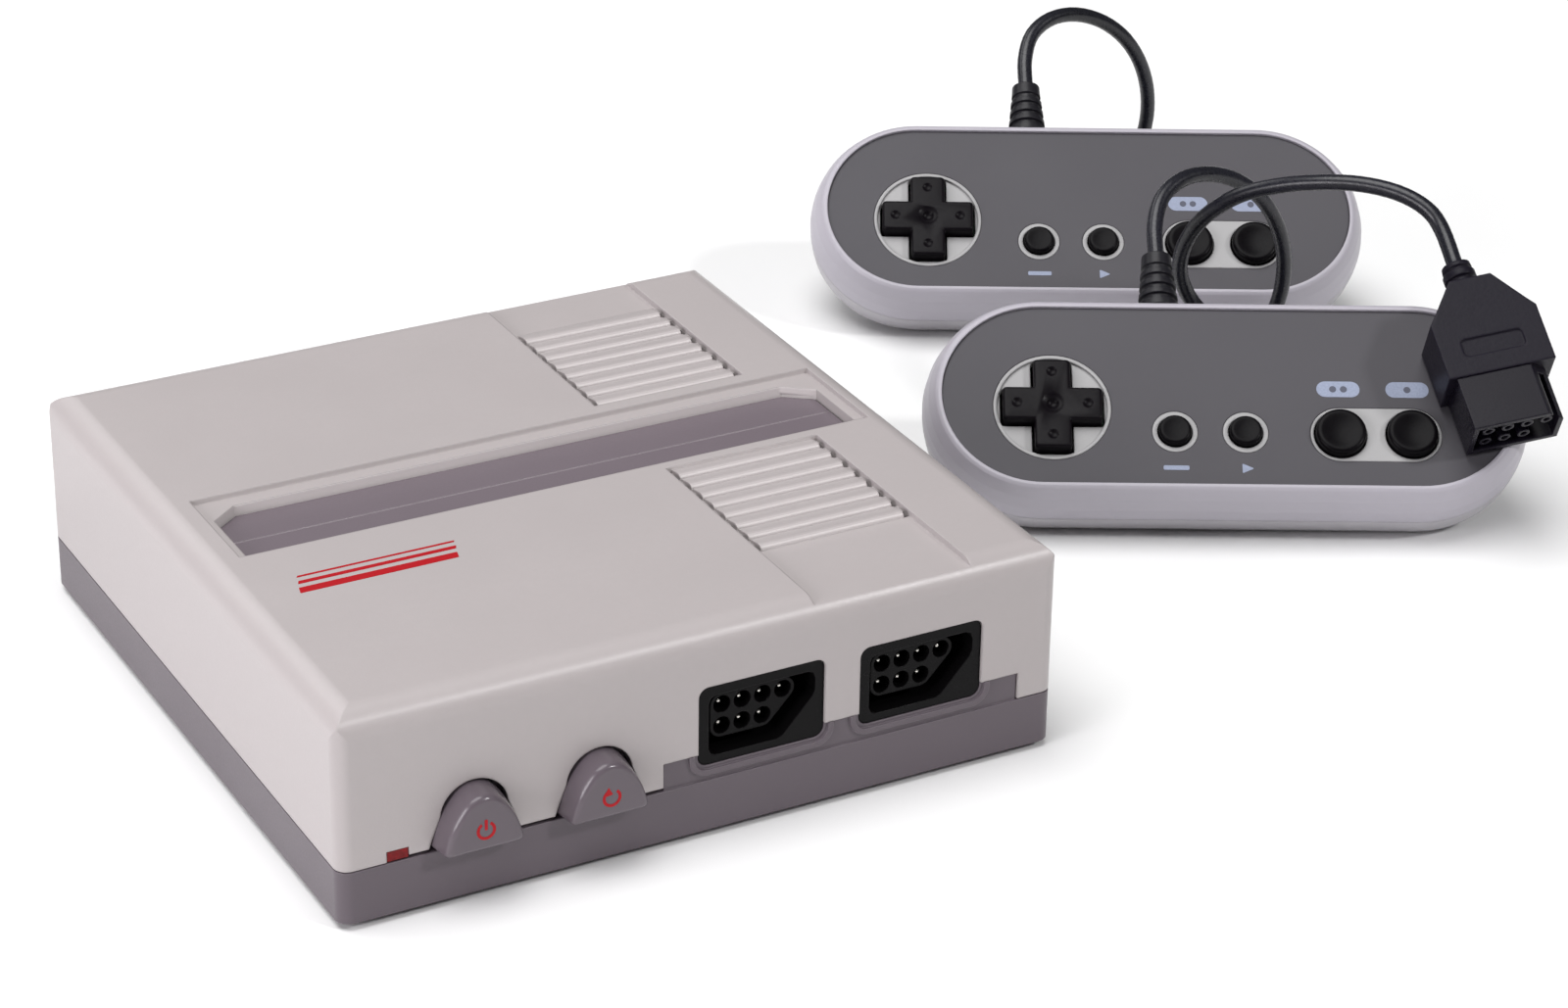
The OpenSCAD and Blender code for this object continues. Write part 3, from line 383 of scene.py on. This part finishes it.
def board_material(name):
    T = Tree(name)
    e, nrm = T.edge(0.0002)
    v = T.t.nodes.new("ShaderNodeTexBrick")
    v.inputs["Scale"].default_value = 220
    v.inputs["Color1"].default_value = srgb(24, 92, 52)
    v.inputs["Color2"].default_value = srgb(30, 104, 60)
    v.inputs["Mortar"].default_value = srgb(16, 66, 38)
    v.inputs["Mortar Size"].default_value = 0.03
    T.link(T.coord, v.inputs["Vector"])
    T.link(T.mix(T.span(T.noise(90, 3), 0.3, 0.7, 0, 0.5), v.outputs["Color"], srgb(20, 80, 45)), T.bsdf.inputs["Base Color"])
    T.link(T.span(T.noise(700, 2), 0.3, 0.7, 0.3, 0.45), T.bsdf.inputs["Roughness"])
    T.link(nrm, T.bsdf.inputs["Normal"])
    return T.m


M["board"] = board_material("board_green")


def cord_material():
    T = Tree("cord_black")
    big = T.noise(60, 2)
    fine = T.noise(1500, 2)
    T.link(T.mix(T.span(big, 0.3, 0.7, 0, 1), srgb(19, 19, 26), srgb(27, 27, 37)), T.bsdf.inputs["Base Color"])
    T.link(T.span(fine, 0.3, 0.7, 0.24, 0.36), T.bsdf.inputs["Roughness"])
    bn = T.node("ShaderNodeBump")
    bn.inputs["Strength"].default_value = 0.2
    bn.inputs["Distance"].default_value = 0.00004
    T.link(fine, bn.inputs["Height"])
    T.link(bn.outputs["Normal"], T.bsdf.inputs["Normal"])
    return T.m


M["cord"] = cord_material()


def lens_material():
    T = Tree("lamp_red")
    e, nrm = T.edge(0.0003)
    n = T.noise(900, 2)
    col = T.mix(T.span(n, 0.3, 0.7, 0, 1), srgb(96, 5, 10), srgb(128, 10, 16))
    T.link(T.mix(e, col, srgb(52, 4, 8)), T.bsdf.inputs["Base Color"])
    T.link(T.span(n, 0.3, 0.7, 0.12, 0.22), T.bsdf.inputs["Roughness"])
    T.bsdf.inputs["Coat Weight"].default_value = 0.15
    T.bsdf.inputs["Specular IOR Level"].default_value = 0.15
    T.bsdf.inputs["Emission Color"].default_value = srgb(200, 10, 16)
    T.bsdf.inputs["Emission Strength"].default_value = 0.02
    T.link(nrm, T.bsdf.inputs["Normal"])
    return T.m


M["lens"] = lens_material()


def print_material(name, col, rough=0.5):
    T = Tree(name)
    n = T.noise(2400, 2)
    T.link(T.mix(T.span(n, 0.3, 0.7, 0, 1), scaled(col, 0.92), scaled(col, 1.06)), T.bsdf.inputs["Base Color"])
    T.link(T.span(n, 0.3, 0.7, rough - 0.05, rough + 0.08), T.bsdf.inputs["Roughness"])
    T.bsdf.inputs["Specular IOR Level"].default_value = 0.25
    return T.m


M["red_print"] = print_material("red_print", srgb(172, 14, 26))
M["blue_print"] = print_material("blue_grey_print", srgb(150, 158, 180))
M["grey_print"] = print_material("dark_grey_print", srgb(88, 90, 104))


def jack_material():
    """Plated phono shells whose flanges and bodies are moulded plastic: yellow for the first, white for the second."""
    T = Tree("plated_jacks")
    e, nrm = T.edge(0.0002)
    sep = T.node("ShaderNodeSeparateXYZ")
    T.link(T.coord, sep.inputs[0])
    moulded = T.math("LESS_THAN", sep.outputs[1], (SET.y + 142 + 1.22) * MM)
    second = T.math("GREATER_THAN", sep.outputs[0], (SET.x + 42) * MM)
    n = T.noise(900, 2)
    streak = T.noise(60, 2, 0.5, (900, 30, 900))
    body = T.mix(second, srgb(222, 178, 40), srgb(226, 224, 216))
    body = T.mix(T.span(n, 0.3, 0.7, 0, 0.3), body, srgb(190, 176, 130))
    shell = T.mix(T.span(streak, 0.3, 0.7, 0, 1), srgb(196, 190, 178), srgb(222, 218, 208))
    T.link(T.mix(moulded, shell, body), T.bsdf.inputs["Base Color"])
    T.link(T.math("SUBTRACT", 1.0, moulded), T.bsdf.inputs["Metallic"])
    T.link(T.math("ADD", T.math("MULTIPLY", moulded, 0.18), T.span(n, 0.3, 0.7, 0.2, 0.3)), T.bsdf.inputs["Roughness"])
    T.link(nrm, T.bsdf.inputs["Normal"])
    return T.m


M["jacks"] = jack_material()


def floor_material():
    T = Tree("studio_floor")
    n = T.noise(6, 3)
    T.link(T.mix(T.span(n, 0.3, 0.7, 0, 1), (0.90, 0.90, 0.90, 1), (0.93, 0.93, 0.93, 1)), T.bsdf.inputs["Base Color"])
    T.link(T.span(n, 0.3, 0.7, 0.55, 0.6), T.bsdf.inputs["Roughness"])
    T.bsdf.inputs["Specular IOR Level"].default_value = 0.2
    return T.m


def give(material, *names):
    for n in names:
        o = N[n]
        if not o.material_slots:
            o.data.materials.append(material)
        for s in o.material_slots:
            s.material = material


give(M["shell"], "top_shell")
give(M["base"], "base_shell")
give(M["flap"], "slot_flap")
give(M["button"], "power_button", "reset_button")
give(M["steel"], "flap_hinge_pin", "flap_spring", "power_spring", "reset_spring", "case_screws", "board_screws")
give(M["pins"], "port_pins")
give(M["white"], "power_switch", "reset_switch")
give(M["lens"], "led_lens", "led")
give(M["socket"], "port_socket_left", "port_socket_right", "cartridge_connector", "dc_jack", "board_components")
give(M["board"], "main_board")
give(M["gold"], "connector_contacts")
give(M["jacks"], "av_jacks")
give(M["rubber"], "rubber_feet")
for i in (1, 2):
    s = "_%d" % i
    give(M["pad_front"][i - 1], "front_shell" + s)
    give(M["pad_back"], "back_shell" + s)
    give(M["plate"], "face_plate" + s)
    give(M["cross"], "dpad" + s)
    give(M["key"], "button_a" + s, "button_b" + s, "button_select" + s, "button_start" + s)
    give(M["rubber"], "dpad_pad" + s, "button_pads" + s)
    give(M["board"], "pad_board" + s)
    give(M["steel"], "pad_screws" + s)
    give(M["boot"], "strain_relief" + s)
    give(M["plug"], "plug_body" + s)
    give(M["plug_nose"], "plug_nose" + s)

# ------------------------------------------------------------------ the cords themselves
for i, end in ((0, ARC), (1, LEAD)):
    s = "_%d" % (i + 1)
    o, start = cord_curve("controller_cord" + s, i, end)
    o.data.materials.append(M["cord"])
    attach(o, "pad" + s)
    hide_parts("cord" + s, "cord_coil" + s)

# ------------------------------------------------------------------ modelled pieces
def piece(name, verts, faces, material, body, m, angle=32, bevel=0.0, seg=3, sharp=28, swap=()):
    """A closed mesh from points in the millimetres of the frame that m brings to the row frame."""
    bm = bmesh.new()
    vs = [bm.verts.new(v) for v in verts]
    for f in faces:
        bm.faces.new([vs[k] for k in f])
    bmesh.ops.recalc_face_normals(bm, faces=bm.faces)
    if bevel:
        lim = math.radians(sharp)
        es = [e for e in bm.edges if len(e.link_faces) == 2 and e.calc_face_angle() > lim]
        bmesh.ops.bevel(bm, geom=es, offset=bevel, segments=seg, profile=0.5, affect="EDGES", clamp_overlap=True)
    bmesh.ops.transform(bm, matrix=m, verts=bm.verts)
    me = bpy.data.meshes.new(name)
    bm.to_mesh(me)
    bm.free()
    o = bpy.data.objects.new(name, me)
    scene.collection.objects.link(o)
    me.materials.append(material)
    for q in me.polygons:
        q.use_smooth = True
    me.set_sharp_from_angle(angle=math.radians(angle))
    if body:
        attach(o, body)
        if swap:
            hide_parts(*swap)
    return o


def loft(rings, close=True):
    """Points and faces of a skin over rings of equal count, capped at both ends."""
    n = len(rings[0])
    verts = [p for r in rings for p in r]
    faces = [(i * n + k, i * n + (k + 1) % n, (i + 1) * n + (k + 1) % n, (i + 1) * n + k) for i in range(len(rings) - 1) for k in range(n)]
    if close:
        faces += [tuple(range(n)), tuple((len(rings) - 1) * n + k for k in range(n))]
    return verts, faces


def lathe(profile, n=64):
    """Points and faces turned round Z from (radius, height) pairs that start and end on the axis."""
    verts, faces = [(0, 0, profile[0][1])], []
    for r, z in profile[1:-1]:
        verts += [(r * math.cos(2 * PI * k / n), r * math.sin(2 * PI * k / n), z) for k in range(n)]
    verts.append((0, 0, profile[-1][1]))
    m = len(profile) - 2
    for k in range(n):
        j = (k + 1) % n
        faces.append((0, 1 + j, 1 + k))
        faces += [(1 + i * n + k, 1 + i * n + j, 1 + (i + 1) * n + j, 1 + (i + 1) * n + k) for i in range(m - 1)]
        faces.append((1 + (m - 1) * n + k, 1 + (m - 1) * n + j, len(verts) - 1))
    return verts, faces


def join(*parts):
    verts, faces = [], []
    for v, f in parts:
        b = len(verts)
        verts += [tuple(q) for q in v]
        faces += [tuple(b + k for k in q) for q in f]
    return verts, faces


def prism(outline, z0, z1):
    return loft([[(x, y, z0) for x, y in outline], [(x, y, z1) for x, y in outline]])


def moved(part, m):
    return [tuple(m @ Vector(v)) for v in part[0]], part[1]


def round_outline(pts, radii, n=6):
    """A polygon with each corner rounded by its own radius."""
    out = []
    for i, p in enumerate(pts):
        r = radii[i] if isinstance(radii, (list, tuple)) else radii
        a, b, c = Vector(pts[i - 1]), Vector(p), Vector(pts[(i + 1) % len(pts)])
        u, v = (a - b).normalized(), (c - b).normalized()
        ang = u.angle(v)
        if r <= 0 or ang > 3.1:
            out.append(tuple(b))
            continue
        d = r / math.tan(ang / 2)
        mid = b + (u + v).normalized() * (r / math.sin(ang / 2))
        s, e = b + u * d - mid, b + v * d - mid
        a0 = math.atan2(s.y, s.x)
        da = (math.atan2(e.y, e.x) - a0 + PI) % (2 * PI) - PI
        out += [(mid.x + r * math.cos(a0 + da * k / n), mid.y + r * math.sin(a0 + da * k / n)) for k in range(n + 1)]
    return out


def carve(o, cutters):
    for c in cutters:
        md = o.modifiers.new("cut", "BOOLEAN")
        md.operation, md.solver, md.object = "DIFFERENCE", "EXACT", c
    me = bpy.data.meshes.new_from_object(o.evaluated_get(bpy.context.evaluated_depsgraph_get()))
    o.modifiers.clear()
    o.data = me
    for q in me.polygons:
        q.use_smooth = True
    me.set_sharp_from_angle(angle=math.radians(30))
    for c in cutters:
        bpy.data.objects.remove(c)
    return o


# front buttons: drafted caps with soft front edges, on a flange and a stem
BTN_W, BTN_TOP, BTN_LOW, BTN_Z = 16.7, 22.2, 10.65, 12.8
# half width of the arch at each height, from its foot to its crown
FLANK = [(8.35, 10.65), (8.06, 12.2), (7.62, 13.8), (7.0, 15.6), (6.1, 17.4), (4.9, 19.2), (3.45, 20.9), (1.8, 21.9), (0, 22.2), (-1.8, 21.9)]


def arch_ring(x, y, c, low, rc=0.9):
    line = smooth([(a, b, 0) for a, b in FLANK], 5)[:41]
    off = []
    for k, q in enumerate(line):
        t = (line[min(k + 1, 40)] - line[max(k - 1, 0)]).normalized()
        if k == 40:
            t = Vector((-1, 0, 0))
        off.append(Vector((q.x + c * t.y, q.y - c * t.x)))
    u = (off[1] - off[0]).normalized()
    corner = off[0] + u * ((low - off[0].y) / u.y)
    ang = u.angle(Vector((-1, 0)))
    d = rc / math.tan(ang / 2)
    mid = corner + (u + Vector((-1, 0))).normalized() * (rc / math.sin(ang / 2))
    a0, a1 = -PI / 2, math.atan2(*(corner + u * d - mid).yx)
    half = [((corner.x - d) * k / 5, low) for k in range(1, 5)]
    half += [(mid.x + rc * math.cos(a0 + (a1 - a0) * k / 7), mid.y + rc * math.sin(a0 + (a1 - a0) * k / 7)) for k in range(8)]
    start = corner + u * d
    up = [start] + [q for q in off if q.y > start.y + 0.05]
    run = [0.0]
    for a, b in zip(up, up[1:]):
        run.append(run[-1] + (b - a).length)
    for k in range(1, 24):
        want, j = run[-1] * k / 24, 0
        while run[j + 1] < want:
            j += 1
        q = up[j].lerp(up[j + 1], (want - run[j]) / (run[j + 1] - run[j]))
        half.append((q.x, q.y))
    ring = [(0, low)] + half + [(0, off[-1].y)] + [(-a, b) for a, b in reversed(half)]
    return [(x + a, y, b) for a, b in ring]


def button_mesh(x):
    L = BTN_LOW
    rings = [(-4.80, -3.2, L + 2.4), (-4.80, -1.85, L + 1.25), (-4.74, -1.5, L + 0.93), (-4.56, -1.18, L + 0.62), (-4.28, -0.93, L + 0.36),
             (-3.92, -0.76, L + 0.17), (-3.5, -0.68, L + 0.06), (-2.4, -0.52, L), (0, -0.2, L), (2.74, 0, L), (2.75, 0.8, L), (4.0, 0.8, L),
             (4.0, -1.5, L + 1.3), (3.6, -1.7, L + 1.5), (-3.1, -2.2, L + 1.9)]
    cap = loft([arch_ring(x, y, c, low) for y, c, low in rings])
    at = Matrix.Translation((x, 0, BTN_Z)) @ Matrix.Rotation(-PI / 2, 4, "X")
    stem = moved(lathe([(0, -3.2), (2.0, -3.2), (2.0, 2.9), (3.0, 2.9), (3.2, 3.1), (3.2, 3.9), (3.0, 4.1), (2.0, 4.1), (2.0, 17.2), (1.6, 17.6), (0, 17.6)], 40), at)
    return join(cap, stem)


def arc_band(r0, r1, a0, a1, n=40):
    pts = [(r1 * math.cos(a0 + (a1 - a0) * k / n), r1 * math.sin(a0 + (a1 - a0) * k / n)) for k in range(n + 1)]
    return pts + [(r0 * math.cos(a1 + (a0 - a1) * k / n), r0 * math.sin(a1 + (a0 - a1) * k / n)) for k in range(n + 1)]


def strip_prism(outer, inner, z0, z1):
    """A band between two open rows of points, closed at its ends."""
    n = len(outer)
    verts = [(x, y, z) for z in (z0, z1) for x, y in list(outer) + list(inner)]
    m = 2 * n
    faces = []
    for k in range(n - 1):
        faces += [(k, k + 1, n + k + 1, n + k), (m + k, m + k + 1, m + n + k + 1, m + n + k), (k, k + 1, m + k + 1, m + k), (n + k, n + k + 1, m + n + k + 1, m + n + k)]
    faces += [(0, n, m + n, m), (n - 1, 2 * n - 1, m + 2 * n - 1, m + n - 1)]
    return verts, faces


def arc_rows(r0, r1, a0, a1, n=40):
    return ([(r1 * math.cos(a0 + (a1 - a0) * k / n), r1 * math.sin(a0 + (a1 - a0) * k / n)) for k in range(n + 1)],
            [(r0 * math.cos(a0 + (a1 - a0) * k / n), r0 * math.sin(a0 + (a1 - a0) * k / n)) for k in range(n + 1)])


for name, x in (("power", 25.3), ("reset", 49.2)):
    v, f = button_mesh(x)
    piece(name + "_button_cap", v, f, M["button"], name + "_button", CON, angle=24, swap=(name + "_button",))
    face = Matrix.Translation((x, -4.8, 14.9)) @ Matrix.Rotation(PI / 2, 4, "X")
    if name == "power":
        ring = strip_prism(*arc_rows(1.25, 1.8, math.radians(122), math.radians(418)), -0.02, 0.05)
        bar = prism(round_outline([(-0.28, 0.1), (0.28, 0.1), (0.28, 2.15), (-0.28, 2.15)], 0.12, 3), -0.02, 0.05)
        mark = join(ring, bar)
    else:
        ring = strip_prism(*arc_rows(1.25, 1.8, math.radians(130), math.radians(410)), -0.02, 0.05)
        a = math.radians(130)
        tip = [(1.52 * math.cos(a) + dx, 1.52 * math.sin(a) + dy) for dx, dy in ((-0.75, -0.75), (0.35, 1.0), (1.15, -0.5))]
        mark = join(ring, prism(tip, -0.03, 0.065))
    piece(name + "_mark", mark[0], mark[1], M["red_print"], name + "_button", CON @ face)

# round-nosed pins in the two controller sockets
pins = []
for x0 in (68.5, 100.9):
    for k, (dx, dz) in enumerate([(5.7 + 4.06 * q, 10.6) for q in range(4)] + [(5.7 + 4.06 * q, 6.3) for q in range(3)]):
        back = 21.0 if k < 4 else 18.0
        pin = lathe([(0, 3.3), (0.24, 3.34), (0.44, 3.5), (0.57, 3.76), (0.62, 4.15), (0.62, 8.7), (0.5, 8.95), (0.5, back - 0.05), (0.45, back), (0, back)], 28)
        pins.append(moved(pin, Matrix.Translation((x0 + dx, 0, 13 + dz)) @ Matrix.Rotation(-PI / 2, 4, "X")))
        low = 4.0
        pins.append(prism([(x0 + dx - 0.35, back - 0.85), (x0 + dx + 0.35, back - 0.85), (x0 + dx + 0.35, back - 0.15), (x0 + dx - 0.35, back - 0.15)], low, 13 + dz))
v, f = join(*pins)
piece("socket_pins", v, f, M["pins"], "console", CON, angle=40, swap=("port_pins",))

# plain stripes on the top, in place of lettering
stripes = [prism(round_outline([(x0 + 0.5, y0), (x1, y0), (x1 + 0.5, y1), (x0 + 1.0, y1)], 0.12, 3), 40.49, 40.54)
           for x0, x1, y0, y1 in ((12, 43, 44.1, 46.1), (12.9, 43.9, 47.4, 48.5), (13.5, 44.5, 49.8, 50.4))]
v, f = join(*stripes)
piece("top_stripes", v, f, M["red_print"], "console", CON)


# controllers: keys, crosses and printed marks
def key_mesh(p, r, top, fr, dish):
    k = r / 5.1
    prof = [(0, 11.6), (fr, 11.6), (fr, 12.6), (r, 12.6), (r, top - 0.75), (r - 0.06 * k, top - 0.45), (r - 0.22 * k, top - 0.2), (r - 0.5 * k, top - 0.05),
            (r - 0.85 * k, top), (r - 1.2 * k, top - 0.05 * dish), (r - 2.0 * k, top - 0.4 * dish), (r - 3.2 * k, top - 0.8 * dish), (r - 4.3 * k, top - 0.96 * dish), (0, top - dish)]
    return moved(lathe(prof, 72), Matrix.Translation((p[0], p[1], 0)))


def cross_outline(l, w, r):
    a, b = l / 2, w / 2
    pts = [(b, b), (a, b), (a, -b), (b, -b), (b, -a), (-b, -a), (-b, -b), (-a, -b), (-a, b), (-b, b), (-b, a), (b, a)]
    inner = {0, 3, 6, 9}
    return round_outline(pts, [0.35 if k in inner else r for k in range(12)], 5)


DP, KA, KB, KSEL, KSTA = (-36.0, -2.85), (36.7, -8.45), (22.2, -8.45), (-11.3, -8.2), (3.0, -8.2)
for i in (0, 1):
    s = "_%d" % (i + 1)
    P = pad_matrix(i)
    for label, p, r, top, fr, dish in (("a", KA, 5.1, 18.2, 6.2, 0.42), ("b", KB, 5.1, 18.2, 6.2, 0.42), ("select", KSEL, 3.3, 17.6, 4.2, 0.16), ("start", KSTA, 3.3, 17.6, 4.2, 0.16)):
        v, f = key_mesh(p, r, top, fr, dish)
        piece("key_" + label + s, v, f, M["key"], "button_" + label + s, P, angle=40, swap=("button_" + label + s,))
    # cross with softened top edges, a dished middle and a dimple on each arm
    ring = lambda inset, z: [(x, y, z) for x, y in cross_outline(20.2 - 2 * inset, 7.5 - 2 * inset, 0.7)]
    v, f = loft([ring(0, 12.4), ring(0, 17.45), ring(0.05, 17.75), ring(0.17, 18.0), ring(0.36, 18.15), ring(0.6, 18.2)])
    at = P @ Matrix.Translation((DP[0], DP[1], 0))
    cross = piece("cross" + s, v, f, M["cross"], None, at)
    cutters = []
    for x, y, r, z in [(0, 0, 5.0, 22.62)] + [(7.2 * c, 7.2 * d, 1.7, 19.5) for c, d in ((1, 0), (-1, 0), (0, 1), (0, -1))] + [(0, 0, 1.6, 18.75)]:
        bm = bmesh.new()
        bmesh.ops.create_icosphere(bm, subdivisions=5 if r > 2 else 4, radius=r * MM)
        me = bpy.data.meshes.new("cutter")
        bm.to_mesh(me)
        bm.free()
        c = bpy.data.objects.new("cutter", me)
        scene.collection.objects.link(c)
        c.matrix_world = Matrix.Translation(at @ Vector((x, y, z)))
        cutters.append(c)
    carve(cross, cutters)
    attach(cross, "dpad_cross" + s)
    v, f = lathe([(0, 9.3), (0.8, 9.45), (1.3, 9.95), (1.5, 10.8), (1.5, 11.9), (10.2, 11.9), (10.4, 12.0), (10.4, 12.6), (10.2, 12.7), (0, 12.7)])
    under = piece("cross_under" + s, v, f, M["cross"], "dpad_cross" + s, at)
    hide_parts("dpad" + s)
    # light pills over the two keys, with one and two dots left dark, and small marks under the other two
    z0, z1 = FACE_Z - 0.02, FACE_Z + 0.05
    for tag, x, dots in (("b", 22.25, (-1.1, 1.1)), ("a", 36.3, (0.0,))):
        v, f = prism(round_outline([(x - 4.4, 0.15), (x + 4.4, 0.15), (x + 4.4, 3.75), (x - 4.4, 3.75)], 1.79, 10), z0, z1)
        piece("pill_" + tag + s, v, f, M["blue_print"], "pad" + s, P)
        parts = [prism([(x + dx + 0.72 * math.cos(2 * PI * k / 28), 1.95 + 0.72 * math.sin(2 * PI * k / 28)) for k in range(28)], z1 - 0.01, z1 + 0.03) for dx in dots]
        v, f = join(*parts)
        piece("pill_dots_" + tag + s, v, f, M["grey_print"], "pad" + s, P)
    bar = prism(round_outline([(KSEL[0] - 2.6, -16.9), (KSEL[0] + 2.6, -16.9), (KSEL[0] + 2.6, -15.9), (KSEL[0] - 2.6, -15.9)], 0.3, 4), z0, z1)
    tri = prism(round_outline([(KSTA[0] - 1.0, -17.5), (KSTA[0] + 1.4, -16.4), (KSTA[0] - 1.0, -15.3)], 0.15, 3), z0, z1)
    v, f = join(bar, tri)
    piece("key_marks" + s, v, f, M["blue_print"], "pad" + s, P)

# ------------------------------------------------------------------ studio
bpy.ops.mesh.primitive_plane_add(size=6, location=(0, 0, -0.0003))
floor = bpy.context.object
floor.name = "studio_floor"
floor.data.materials.append(floor_material())


def area(name, loc, target, size, power, col=(1, 1, 1)):
    ld = bpy.data.lights.new(name, "AREA")
    ld.shape = "RECTANGLE"
    ld.size, ld.size_y = size
    ld.energy = power
    ld.color = col
    o = bpy.data.objects.new(name, ld)
    scene.collection.objects.link(o)
    o.location = loc
    o.rotation_euler = (Vector(target) - Vector(loc)).to_track_quat("-Z", "Y").to_euler()
    return o


def sun(name, toward, strength, softness, col=(1, 1, 1)):
    ld = bpy.data.lights.new(name, "SUN")
    ld.energy = strength
    ld.angle = math.radians(softness)
    ld.color = col
    o = bpy.data.objects.new(name, ld)
    scene.collection.objects.link(o)
    o.rotation_euler = Vector(toward).to_track_quat("-Z", "Y").to_euler()
    return o


sun("key", (-0.44, 0.62, -0.65), 1.02, 7)
sun("top", (0.22, -0.04, -1.0), 2.36, 48)
area("left_fill", (-0.95, -0.25, 0.34), (-0.16, 0, 0.03), (0.5, 0.4), 4.7, (1.0, 0.975, 1.01))
area("sheen", (-0.35, 0.9, 0.75), (-0.08, 0, 0.03), (0.9, 0.35), 2.2)
world = bpy.data.worlds.new("studio")
scene.world = world
world.use_nodes = True
world.node_tree.nodes["Background"].inputs["Color"].default_value = (1, 1, 1, 1)
world.node_tree.nodes["Background"].inputs["Strength"].default_value = 0.1
scene.view_settings.view_transform = "Standard"
